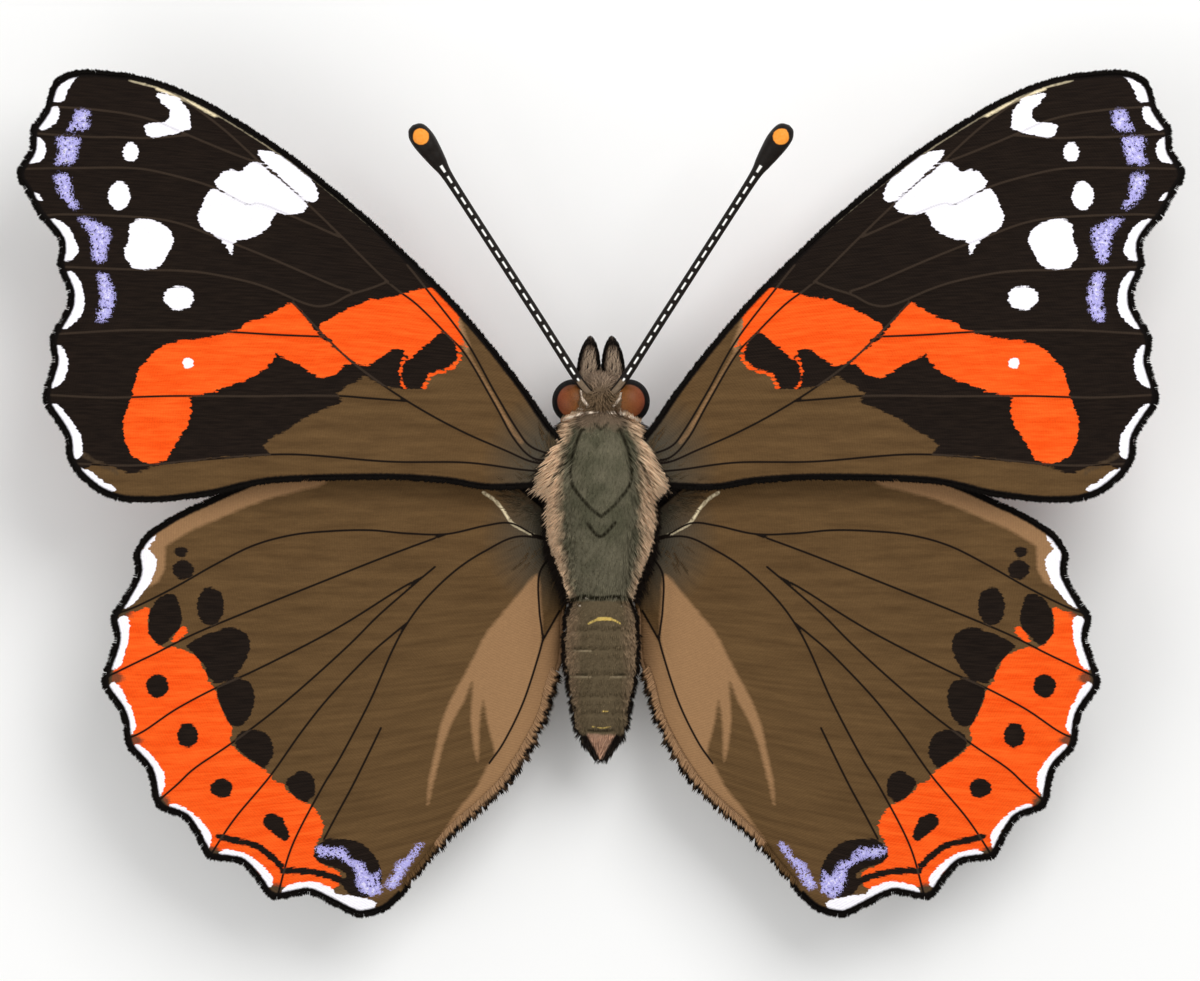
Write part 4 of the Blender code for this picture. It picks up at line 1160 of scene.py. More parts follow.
HINDWING = WingChart(
    front=path(
        120, 190, 290, 40, 500, -120, 800, -230, 1150, -260, 1500, -190, 1850, -60, 2050, 30, 2150, 75,
        2250, 130, 2350, 200, 2412, 283, 2422, 325,
    ),
    outer=path(
        2422, 325, 2412, 375, 2420, 433, 2490, 558, 2530, 615, 2539, 658, 2525, 717, 2527, 775, 2575, 917,
        2585, 975, 2570, 1025, 2500, 1125, 2477, 1195, 2470, 1267, 2450, 1325, 2367, 1417, 2342, 1475,
        2330, 1542, 2317, 1596, 2283, 1642, 2183, 1680, 2142, 1717, 2083, 1820, 2058, 1870, 2025, 1900,
        1917, 1914, 1858, 1933, 1783, 2020, 1750, 2070, 1717, 2100, 1675, 2110, 1567, 2090, 1508, 2086,
        1400, 2137, 1290, 2193, 1225, 2200, 1117, 2170, 1033, 2100, 990, 2045,
    ),
    hind=path(
        990, 2045, 890, 1930, 795, 1805, 710, 1720, 610, 1635, 495, 1520, 405, 1395, 335, 1270, 275, 1140,
        245, 1020, 220, 940, 195, 870, 185, 760, 180, 610, 120, 440, 120, 190,
    ),
    root=(2.0, 2.2),
    veins=[
        path(
            230, 240, 340, 215, 467, 154, 600, 167, 800, 210, 1000, 207, 1200, 190, 1400, 195, 1600, 215,
            1800, 270, 2000, 370, 2200, 483, 2400, 583, 2530, 630,
        ),
        path(
            800, 210, 1000, 283, 1200, 360, 1500, 480, 1800, 600, 2100, 725, 2300, 825, 2400, 873,
            2580, 960,
        ),
        path(
            930, 435, 1050, 500, 1300, 658, 1500, 770, 1800, 920, 2000, 1010, 2200, 1117, 2367, 1230,
            2470, 1275,
        ),
        path(
            860, 380, 967, 470, 1150, 630, 1300, 780, 1500, 963, 1700, 1133, 1917, 1296, 2100, 1420,
            2200, 1512, 2320, 1615,
        ),
        path(1000, 667, 1090, 740, 1200, 837, 1400, 1046, 1550, 1233, 1713, 1463, 1900, 1688, 2040, 1900),
        path(
            230, 250, 430, 223, 600, 298, 750, 396, 900, 537, 1000, 667, 1080, 812, 1200, 1083, 1350, 1367,
            1450, 1533, 1600, 1825, 1680, 2100,
        ),
        path(1140, 1215, 1210, 1360, 1290, 1520, 1370, 1667, 1435, 1790),
        path(215, 610, 255, 680, 300, 760),
        path(250, 310, 320, 420, 320, 600, 305, 730, 312, 800, 400, 1075, 500, 1283, 580, 1400),
    ],
    upper={
        "ground_dark": (),
        "band": HIND_BAND,
        "white": HIND_WHITE,
        "lilac": HIND_LILAC,
        "dark": HIND_DARK,
        "tan": HIND_TAN,
        "streak": (Stroke(path(610, -5, 550, 35, 500, 95, 465, 150, 400, 190, 330, 225), 0.13),),
        "patch": (
            Spot((24.8, 6.2), (0.55, 0.28)), Spot((25.3, 9.55), (0.6, 0.32)),
            Spot((24.35, 12.75), (0.6, 0.3)), Spot((22.8, 16.0), (0.5, 0.35)),
            Spot((20.15, 18.75), (0.45, 0.45)), Spot((16.8, 20.7), (0.35, 0.5)),
            Spot((14.0, 21.0), (0.2, 0.3)),
        ),
    },
    under={
        "ground_dark": (Patch(path(
            900, 200, 1300, -50, 1850, 150, 1700, 550, 1350, 900, 950, 950, 700, 600,
        ), 0.5),),
        "white": (Patch(path(1260, -230, 1440, -190, 1520, -90, 1460, 20, 1340, 30, 1270, -90), 0.3),),
        "lilac": (Stroke(path(
            2360, 440, 2400, 800, 2290, 1220, 2030, 1620, 1700, 1910, 1360, 2020,
        ), 0.35),),
        "buff": HIND_TAN[1:] + (Stroke(path(
            1870, -20, 2040, 350, 1940, 750, 1700, 1120, 1350, 1450, 900, 1660,
        ), 0.8),),
        "eyespot": EYESPOTS,
    },
)


class ScaleGraph(Graph):
    """The nodes of one face of a wing, covered with overlapping scales in rows."""

    def __init__(self, name: str, ragged: float, pitch: tuple[float, float], stray: float = 0.0) -> None:
        """Lays the scales over the face.

        Args:
            name: The material's name.
            ragged: How far the scales make the marks' edges stray.
            pitch: The distances between scales, along the wing and across it.
            stray: How far the rows themselves stray.
        """
        super().__init__(name)
        self.here = self.place()
        self.span, self.sweep = self.attribute("span"), self.attribute("sweep")
        self.grain = self.noise(self.here, 7.0, 2.0, 0.6)
        self.scales = self.cells(self.vector(self.span / pitch[0], self.sweep / pitch[1]), 1.0)
        self.rows = ((self.span + (self.grain - 0.5) * stray) * (TURN / pitch[0])).sine() * 0.5 + 0.5
        teeth = self.noise(self.vector(self.span * 1.3, self.sweep * 5.5), 1.0, 2.0, 0.6)
        self.tooth = (teeth - 0.5) * ragged * 2.6
        self.fleck = (self.grain - 0.5) * ragged

    def mask(self, name: str, soft: float = 0.05, wobble: float = 1.0) -> Value:
        """Where the wing carries this mark, with an edge as ragged as its scales make it."""
        return (self.attribute(name) + (self.tooth + self.fleck) * wobble).inside(soft)

    def scaly(self, colour: NodeSocket, strength: float, rough: float) -> Material:
        """Finishes the face with the relief and the small shadows of its scales.

        Args:
            colour: The colour.
            strength: How strongly the scales darken and lighten it.
            rough: The roughness of the smoothest scales.

        Returns:
            The material.
        """
        tone = self.grain * 0.5 + self.scales * 0.5 + self.rows * 0.3 - 0.45
        colour = self.scaled(colour, tone * strength + 1.0)
        height = self.rows * 0.45 + (1 - self.scales) * 0.35 + self.grain * 0.2
        return self.finish(colour, rough + self.grain * 0.2, height, 0.022, Specular_IOR_Level=0.06)


@dataclass(frozen=True)
class WingFinish:
    """The upper side of a wing, painted by the marks that the wing's mesh carries."""

    name: str
    ground: str = "#5d4529"
    ground_pale: str = "#6d5334"
    ground_deep: str = "#4a3620"
    tan: str = "#9b7652"
    dark: str = "#231a14"
    dark_deep: str = "#17100c"
    band: str = "#ff641f"
    band_deep: str = "#f04f10"
    white: str = "#fbf8ff"
    lilac: str = "#b0abe6"
    patch: str = "#4b3c2c"
    streak: str = "#f0dfb8"
    base: str = "#43423a"
    vein: str = "#17100b"
    vein_on_dark: str = "#40342a"
    rim: str = "#0f0b09"
    ragged: float = 0.16
    base_reach: float = 4.2
    vein_line: float = 0.055
    rim_line: float = 0.21

    def material(self) -> Material:
        """Builds the wing's material.

        Returns:
            The material.
        """
        c = {key: shade(code) for key, code in vars(self).items() if str(code).startswith("#")}
        g = ScaleGraph(self.name, self.ragged, (0.13, 0.0806), 0.05)
        streaks = g.noise(g.vector(g.span * 0.3, g.sweep * 2.2), 1.0, 3.0, 0.6)
        fine_streaks = g.noise(g.vector(g.span * 0.9, g.sweep * 9.0), 1.0, 2.0)
        specks = g.noise(g.here, 5.5, 3.0, 0.75)
        colour = g.mix(streaks.between(0.3, 0.7), c["ground_deep"], c["ground_pale"])
        colour = g.mix(0.45, colour, c["ground"])
        rooty = (g.span * -1.0 + self.base_reach + g.fleck).between(0.0, 2.6)
        colour = g.mix(rooty * 0.8, colour, c["base"])
        colour = g.mix(g.mask("tan", 0.2, 0.45) * 0.92, colour, c["tan"])
        dark = g.mask("ground_dark", 0.08)
        night = g.mix(fine_streaks.between(0.35, 0.75), c["dark_deep"], c["dark"])
        colour = g.mix(dark, colour, night)
        band = g.mask("band")
        fire = g.mix((streaks * 0.6 + fine_streaks * 0.4).between(0.4, 0.62), c["band_deep"], c["band"])
        colour = g.mix(band, colour, fire)
        spots = g.mask("dark", 0.06, 0.7)
        colour = g.mix(spots, colour, night)
        pale = g.mix((specks - 0.53).between(0.0, 0.08) * 0.6, c["lilac"], c["white"])
        blotch = (g.attribute("lilac") + (specks - 0.47) * 1.4 + g.tooth * 0.5).inside(0.08)
        colour = g.mix(blotch * (specks - 0.39).between(0.0, 0.03), colour, pale)
        colour = g.mix(g.mask("streak", 0.1, 0.2), colour, c["streak"])
        colour = g.mix(g.mask("patch", 0.16, 0.7) * 0.85, colour, c["patch"])
        white = g.mask("white", 0.04, 0.75)
        colour = g.mix(white, colour, c["white"])
        on_dark = (dark * (1 - band)).highest(spots) * (1 - white)
        drawn = (g.attribute("vein") - self.vein_line).inside(0.05) * (1 - white * 0.8)
        line = g.mix(on_dark, c["vein"], c["vein_on_dark"])
        colour = g.mix(drawn * (1 - on_dark * 0.35), colour, line)
        rim = (g.attribute("rim") - self.rim_line + g.fleck * 0.5).inside(0.1)
        return g.scaly(g.mix(rim, colour, c["rim"]), 0.28, 0.62)


@dataclass(frozen=True)
class UnderFinish:
    """The underside of a wing: marbled bark colours, with the same veins as the upper side."""

    name: str
    marbled: bool
    ragged: float = 0.22
    bark: Sequence[tuple[float, str]] = (
        (0.25, "#231c17"), (0.42, "#4b3d2f"), (0.55, "#7c6a55"), (0.66, "#3a3230"), (0.8, "#8a8078"),
    )
    eyespot: Sequence[tuple[float, str]] = (
        (0.28, "#a08a66"), (0.06, "#1b1512"), (-0.3, "#6d7f86"), (-0.5, "#1b1512"),
    )

    def material(self) -> Material:
        """Builds the underside's material.

        Returns:
            The material.
        """
        g = ScaleGraph(self.name, self.ragged, (0.13, 0.08))
        marble = g.noise(g.vector(g.span * 0.55, g.sweep * 0.8), 1.0, 5.0, 0.62)
        rim = g.attribute("rim")
        waves = ((rim * 2.1 + marble * 7.0).sine() * 0.5 + 0.5) * 0.6 + marble * 0.4
        colour = bark = g.ramped(waves, self.bark)
        if self.marbled:
            colour = g.painted(colour, "#1c1613", g.mask("ground_dark", 0.9) * 0.75)
            colour = g.painted(colour, "#9a856a", g.mask("buff", 0.5) * 0.65)
        else:
            colour = g.mix(marble.between(0.35, 0.65), shade("#3d2f24"), shade("#5e4a38"))
            colour = g.painted(colour, "#201915", g.mask("ground_dark", 0.12))
            colour = g.painted(colour, "#f2603c", g.mask("band", 0.06))
            colour = g.mix(g.mask("buff", 0.6), colour, bark)
        for grown, code in self.eyespot:
            colour = g.painted(colour, code, (g.attribute("eyespot") - grown + g.tooth * 0.3).inside(0.1))
        dashes = ((g.sweep * 2.4).sine() + (marble - 0.5) * 5.0).between(-0.4, 0.2)
        colour = g.painted(colour, "#6a7898", g.mask("lilac", 0.12) * dashes * 0.85)
        colour = g.painted(colour, "#efe3c6" if self.marbled else "#f7f3f4", g.mask("white", 0.08))
        colour = g.painted(colour, "#8a7456", (g.attribute("vein") - 0.07).inside(0.08) * 0.7)
        return g.scaly(g.painted(colour, "#17110d", (rim - 0.16).inside(0.1)), 0.3, 0.65)


@dataclass(frozen=True)
class WingLift:
    """How both wings of a side rise and curve, as the solids do."""

    root_x: float = 2.6
    tip_x: float = 30.15
    rise: float = 2.0
    overlap_y: float = -0.5
    fore_root: float = 6.45
    fore_pitch: float = 0.03
    fore_camber: float = 0.0028
    hind_root: float = 5.25
    hind_pitch: float = 0.02
    hind_camber: float = 0.002
    gutter_x: float = 4.5
    gutter_curve: float = 0.15

    def _rise_at(self, x: Array) -> Array:
        """How far the wing has risen at this distance from the middle."""
        share = np.maximum(0.0, (np.abs(x) - self.root_x) / (self.tip_x - self.root_x))
        return self.rise * share * (2 - share)

    def forewing(self, x: Array, y: Array) -> Array:
        """The height of the forewing's middle surface."""
        ahead = self.overlap_y - y
        return self.fore_root + self._rise_at(x) + self.fore_pitch * ahead - self.fore_camber * ahead ** 2

    def hindwing(self, x: Array, y: Array) -> Array:
        """Finds the height of the hindwing's middle surface.

        Args:
            x: How far sideways the places are.
            y: How far towards the tail.

        Returns:
            The heights.
        """
        behind = y - self.overlap_y
        gutter = np.maximum(0.0, self.gutter_x - np.abs(x))
        droop = self.hind_pitch * behind + self.hind_camber * behind * np.abs(behind)
        return self.hind_root + self._rise_at(x) - droop - self.gutter_curve * gutter ** 2


LIFT = WingLift()


@dataclass
class Wing:
    """A pair of wings of one kind, from the sheet's layout to the two finished pieces."""

    kind: str
    chart: WingChart
    height: Callable[[Array, Array], Array]
    upper: WingFinish
    under: UnderFinish
    edge_step: float = 0.13
    grid_step: float = 0.17
    vein_step: float = 0.17
    vein_half_width: float = 0.13
    thickness: float = 0.16
    edge_thickness: float = 0.07
    vein_height: float = 0.07
    vein_taper: float = 0.4
    pleat: float = 0.13
    pleat_reach: float = 1.1
    fringe_width: float = 0.2
    fringe_pitch: float = 0.07
    fringe_length: float = 0.3
    fringe_sweep: tuple[float, float, float] = (0.6, 0.1, -0.6)
    hairy_length: float = 0.0
    hairy_from: float = 9.2
    hairy_tan: tuple[float, float] = (6.0, 18.4)
    hairy_short: tuple[float, float] = (18.3, 0.25)
    down_pitch: float = 0.17
    down_across: tuple[float, float] = (1.9, 9.0)
    down_along: tuple[float, float] = (-5.0, 9.0)
    down_middle: tuple[float, float] = (1.2, 0.5)
    down_full: float = 2.2
    down_reach: float = 4.6
    down_clear: float = 0.35
    points: Array = field(init=False)
    triangles: Array = field(init=False)
    vein: Array = field(init=False)
    edge: Array = field(init=False)
    dark_edge: Array = field(init=False)

    def node(self, side: Side) -> str:
        """The name of the wing's node on this side."""
        return f"{self.kind}_{side.word}"

    def lay_out(self) -> None:
        """Places the sheet's points: on the outline, along both sides of each vein, and evenly between."""
        outline = self._membrane_edge()
        veins = [smooth_line(vein, self.vein_step) for vein in self.chart.veins]
        rows = []
        for vein in veins:
            along = np.gradient(vein, axis=0)
            along /= np.linalg.norm(along, axis=1)[:, None]
            across = np.column_stack([-along[:, 1], along[:, 0]]) * self.vein_half_width
            rows += [vein, vein + across, vein - across]
        low, high = outline.min(axis=0), outline.max(axis=0)
        lines = np.arange(low[1], high[1], self.grid_step * 0.866)
        x, y = np.meshgrid(np.arange(low[0], high[0], self.grid_step), lines)
        x = x + (np.arange(len(lines)) % 2)[:, None] * self.grid_step / 2
        fill = np.column_stack([x.ravel(), y.ravel()])
        fill = fill[self._vein_distance(fill, veins) > self.vein_half_width + 0.5 * self.grid_step]
        inner = np.vstack([*rows, fill])
        inner = inner[signed_distance(inner, outline) < -0.6 * self.edge_step]
        count = len(outline)
        loop = [(i, (i + 1) % count) for i in range(count)]
        points = [Vector(p) for p in np.vstack([outline, inner])]
        sheet = delaunay_2d_cdt(points, loop, [list(range(count))], 1, 1e-4)
        self.points = np.array([p[:] for p in sheet[0]])
        self.triangles = np.array([tri for tri in sheet[2] if len(tri) == 3])
        self.vein = self._vein_distance(self.points, veins)
        self.edge = np.maximum(0.0, -signed_distance(self.points, outline))
        hairy = line_distance(self.points, smooth_line(self.chart.hind, 0.3)) < 0.6
        self.dark_edge = self.edge + 0.4 * (hairy & (self.hairy_length > 0))

    def _edge_frame(self, step: float) -> tuple[Array, Array, Array]:
        """Samples the charted outline.

        Args:
            step: The distance between samples.

        Returns:
            The samples, and the directions along the outline and outwards there.
        """
        loop = self.chart.outline(step)
        ahead = unit(np.roll(loop, -3, axis=0) - np.roll(loop, 3, axis=0))
        out = np.column_stack([ahead[:, 1], -ahead[:, 0]])
        probe = signed_distance(loop + out * 0.02, loop)
        return loop, ahead, out if np.median(probe) > 0 else -out

    def _membrane_edge(self) -> Array:
        """Moves the outline in by the width of the fringe.

        Returns:
            The outline of the wing without its fringe.
        """
        loop, _, out = self._edge_frame(self.edge_step)
        moved = loop - out * self.fringe_width
        return moved[signed_distance(moved, loop) < -0.92 * self.fringe_width]

    @staticmethod
    def _vein_distance(points: Array, veins: Sequence[Array]) -> Array:
        """The distance from each point to the nearest vein."""
        return np.min([line_distance(points, vein) for vein in veins], axis=0)

    def _rim_edges(self) -> list[list[int]]:
        """Finds the sheet's outer edges.

        Returns:
            Their ends, in the direction in which the edge's triangle uses them.
        """
        tri = self.triangles
        edges = np.vstack([tri[:, [0, 1]], tri[:, [1, 2]], tri[:, [2, 0]]])
        _, first, count = np.unique(np.sort(edges, axis=1), axis=0, return_index=True, return_counts=True)
        return edges[first[count == 1]].tolist()

    def make(self, side: Side) -> Object:
        """Makes the wing of one side, with its marks stored at its points.

        Args:
            side: The side of the butterfly.

        Returns:
            The finished piece.
        """
        x, y = self.points.T
        half = self.edge_thickness / 2 + (self.thickness - self.edge_thickness) / 2 * ramp(self.edge, 0, 1)
        ridge = self.vein_height * np.clip(1 - self.vein / self.vein_half_width, 0, 1)
        half = half + ridge * ramp(self.edge, 0, self.vein_taper)
        middle = self.height(x, y) - self.pleat * (1 - np.exp(-(self.vein / self.pleat_reach) ** 2))
        points = np.vstack([np.column_stack([x * side.value, y, middle + sign * half]) for sign in (1, -1)])
        count = len(x)
        upper_faces = self.triangles.tolist()
        under_faces = (self.triangles[:, ::-1] + count).tolist()
        walls = [[b, a, a + count, b + count] for a, b in self._rim_edges()]
        faces = upper_faces + under_faces + walls
        if side is Side.RIGHT:
            faces = [corners[::-1] for corners in faces]
        item = make_piece(f"{self.node(side)}_scaled", points, faces)
        item.data.materials.append(self.upper.material())
        item.data.materials.append(self.under.material())
        slots = [Face.UPPER.value] * len(upper_faces) + [Face.UNDER.value] * len(under_faces)
        item.data.polygons.foreach_set("material_index", slots + [Face.UPPER.value] * len(walls))
        self._store_marks(item)
        return hand_in(item, "wing_brown", self.node(side))

    def _store_marks(self, item: Object) -> None:
        """Stores the marks of both faces, and what both share.

        Args:
            item: The wing's piece, with the points of its upper side first.
        """
        faces = (self.chart.upper, self.chart.under)
        for name in sorted({*self.chart.upper, *self.chart.under}):
            values = [union(marks.get(name, ()), self.points) for marks in faces]
            store(item, **{name: np.concatenate(values)})
        offset = self.points - np.array(self.chart.root)
        span = np.linalg.norm(offset, axis=1)
        sweep = np.arctan2(offset[:, 1], offset[:, 0]) * np.maximum(span, 4.0)
        both = {"vein": self.vein, "rim": self.dark_edge, "span": span, "sweep": sweep}
        store(item, **{name: np.tile(values, 2) for name, values in both.items()})

    def _on_side(self, side: Side, at: Array, lie: Array, length: Array, rise: float) -> Planting:
        """Tufts that lie on the wing's upper side, from places and directions of the left wing's chart.

        Args:
            side: The side of the butterfly.
            at: The roots on the chart.
            lie: Their directions, the third number upwards.
            length: Their lengths.
            rise: How high above the middle surface the roots sit.

        Returns:
            The tufts, without what they carry.
        """
        flip = np.array([side.value, 1, 1])
        root = np.column_stack([at, self.height(at[:, 0], at[:, 1]) + rise]) * flip
        facing = np.tile([0.0, 0.0, 1.0], (len(at), 1))
        unwrap = np.column_stack([at[:, 0] / 31, (at[:, 1] + 23) / 46])
        return Planting(root, unit(lie) * flip, facing, length, unwrap)

    def fringe(self, side: Side, finish: Material) -> Object:
        """Grows the fringe of small scales round the wing's edge, with long hair where the wing has it.

        Args:
            side: The side of the butterfly.
            finish: The hair's material.

        Returns:
            The finished piece.
        """
        rng = np.random.default_rng(41)
        loop, ahead, out = self._edge_frame(self.fringe_pitch)
        count, y = len(loop), loop[:, 1]
        lines = [smooth_line(part, 0.3) for part in (self.chart.front, self.chart.outer, self.chart.hind)]
        nearest = np.argmin([line_distance(loop, line) for line in lines], axis=0)
        hairy = (nearest == 2) & (self.hairy_length > 0)
        long_hair = hairy & (y > self.hairy_from)
        hair_length = self.hairy_length * rng.uniform(0.85, 1.1, count)
        length = np.where(long_hair, hair_length, self.fringe_length)
        length -= self.hairy_short[1] * long_hair * (y > self.hairy_short[0])
        stray = np.where(long_hair, 0.2, 0.02)[:, None] * rng.normal(0, 1, (count, 1))
        lie = out + ahead * (np.array(self.fringe_sweep)[nearest][:, None] + stray)
        lie = np.column_stack([lie, rng.normal(0, 0.06, count)])
        at = loop - out * (self.fringe_width + np.where(long_hair, 0.25, 0.05))[:, None]
        tufts = self._on_side(side, at, lie, length, 0.0)
        tan = (y > self.hairy_tan[0]) & (y < self.hairy_tan[1])
        tufts.carried = {
            "hue": hairy * np.where(tan, 0.9, 0.35),
            "soot": long_hair * rng.uniform(0.75, 1.15, count),
        }
        tuft = Tuft(3, 0.18, spread=0.14, droop=0.0, shoulder=1.0)
        return tufts.grow(f"{self.node(side)}_fringe", "wing_brown", tuft, finish, [self.node(side)], seed=5)

    def down(self, side: Side, finish: Material) -> Object:
        """Grows the soft hair at the wing's root, which thins out along the wing.

        Args:
            side: The side of the butterfly.
            finish: The hair's material.

        Returns:
            The finished piece.
        """
        rng = np.random.default_rng(17)
        lines = [np.arange(*reach, self.down_pitch) for reach in (self.down_across, self.down_along)]
        x, y = (grid.ravel() for grid in np.meshgrid(*lines))
        at = np.column_stack([x, y]) + rng.uniform(-0.1, 0.1, (len(x), 2))
        away = at - np.array(self.down_middle)
        far = np.linalg.norm(away, axis=1)
        chance = ramp(-far, -self.down_reach, self.down_reach - self.down_full) ** 1.5
        inside = signed_distance(at, self._membrane_edge()) < -self.down_clear
        chosen = inside & (rng.uniform(0, 1, len(at)) < chance)
        chosen &= union(self.chart.upper.get("streak", ()), at) > 0.3
        at, away, far = at[chosen], unit(away[chosen]), far[chosen]
        lie = np.column_stack([away + rng.normal(0, 0.12, away.shape), np.full(len(at), 0.12)])
        tufts = self._on_side(side, at, lie, np.clip(1.3 - 0.12 * far, 0.5, 1.1), self.thickness / 2 - 0.03)
        tan = union(self.chart.upper.get("tan", ()), at) < 0.1
        tufts.carried = {"hue": np.where(tan, 0.9, np.interp(far, (2.2, 3.6), (0.62, 0.45)))}
        tuft = Tuft(4, 0.055, spread=0.25, droop=0.1)
        return tufts.grow(f"{self.node(side)}_down", "wing_brown", tuft, finish, [self.node(side)], seed=6)


def mirrored(*strokes: Stroke) -> tuple[Stroke, ...]:
    """The strokes, and the same on the other side."""
    return strokes + tuple(Stroke([(-x, y) for x, y in stroke.points], stroke.width) for stroke in strokes)


def turned(points: Sequence[Point], side: Side) -> list[Point]:
    """The left side's points, on this side."""
    return [(x * side.value, y, z) for x, y, z in points]


BODY_MARKS: Mapping[str, Sequence[Stroke]] = {
    "furrow": (
        *mirrored(
            Stroke(path(100, -330, 135, -240, 158, -140, 155, -60, 120, 0, 60, 70, 0, 120), 0.17),
            Stroke(path(185, -215, 220, -130, 270, -35), 0.16),
            Stroke(path(238, -376, 190, -405, 150, -430, 120, -450), 0.09),
            Stroke(path(117, -460, 112, -500, 120, -560), 0.07),
            Stroke(path(110, -580, 70, -530, 30, -488), 0.07),
            Stroke(path(125, -345, 85, -330), 0.12), Stroke(path(160, 555, 90, 535, 0, 545), 0.24),
            Stroke(path(180, 936, 75, 939), 0.08),
        ),
        Stroke(path(70, 155, 5, 225, -75, 150), 0.18), Stroke(path(35, -360, 2, -330, -35, -365), 0.1),
        Stroke(path(180, 802, 70, 805), 0.06), Stroke(path(65, 1228, 0, 1233, -60, 1228), 0.1),
    ),
    # The pale yellow crescents on the abdomen are painted highlights, laid on like marks.
    "gold": (
        Stroke(path(65, 674, 20, 652, -15, 645, -55, 650, -100, 674), 0.1),
        Stroke(path(15, 650, -15, 648, -50, 650), 0.18),
        Stroke(path(45, 1210, -5, 1217, -50, 1210), 0.06), Stroke(path(-10, 1130, -35, 1128), 0.08),
    ),
    "pale": (Stroke(path(170, 814, 50, 816), 0.08), *mirrored(Stroke(path(160, 950, 50, 952), 0.08))),
    "cream": mirrored(
        Stroke(path(230, -366, 210, -370), 0.16), Stroke(path(192, -382, 150, -398), 0.16),
        Stroke(path(125, -406, 95, -414), 0.12), Stroke(path(68, -418, 46, -420), 0.12),
        Stroke(path(110, -560, 100, -510), 0.08), Stroke(path(100, -495, 66, -452), 0.12),
        Stroke(path(122, -440, 100, -434), 0.08), Stroke(path(35, -426, 15, -420), 0.08),
        Stroke(path(120, 575, 108, 583), 0.06), Stroke(path(80, 540, 70, 545), 0.04),
    ),
}
MARKS_ABOVE = 4.8
HEAD_END, ABDOMEN_START = -4.2, 5.5


def body_marks(points: Array) -> dict[str, Array]:
    """The distance from each point to the body's marks and painted highlights, which are only on its upper
    side.
    """
    above = points[:, 2] > MARKS_ABOVE
    return {name: np.where(above, union(marks, points[:, :2]), FAR) for name, marks in BODY_MARKS.items()}


PALE_LIMIT = path(
    -350, 228, -310, 225, -260, 248, -200, 290, -130, 327, -90, 344, -20, 362, 5, 340, 30, 300, 60, 285,
    120, 288, 220, 280, 280, 265, 350, 235, 450, 199, 540, 170,
)


def outline_margin(points: Array, part: float = 0.2, band: float = 0.2, widest: float = 0.97) -> Array:
    """Finds how far inside the coat's dark outline, as seen from above, each of its points is.

    The thorax's outline is charted. The abdomen's is found from the coat, part by part.

    Args:
        points: The coat's points.
        part: The length of the parts that the abdomen's outline is made of.
        band: How wide the outline is there.
        widest: The share of the part's points that lie within its outline.

    Returns:
        The distance sideways, or a large one where the wings or the body hide the place.
    """
    wide, y = np.abs(points[:, 0]), points[:, 1]
    forewings_end, over_forewings, over_hindwings = 1.5, 6.4, 3.4
    seen = points[:, 2] > np.where(y < forewings_end, over_forewings, over_hindwings)
    if y.min() < 0:
        reach = np.interp(y, *np.transpose(PALE_LIMIT))
    else:
        parts = np.floor((y - y.min()) / part).astype(int)
        rows = np.unique(parts[seen])
        edge = [np.quantile(wide[seen & (parts == row)], widest) - band for row in rows]
        reach = np.interp(y, y.min() + (rows + 0.5) * part, edge)
    return np.where(seen, reach - wide, FAR)


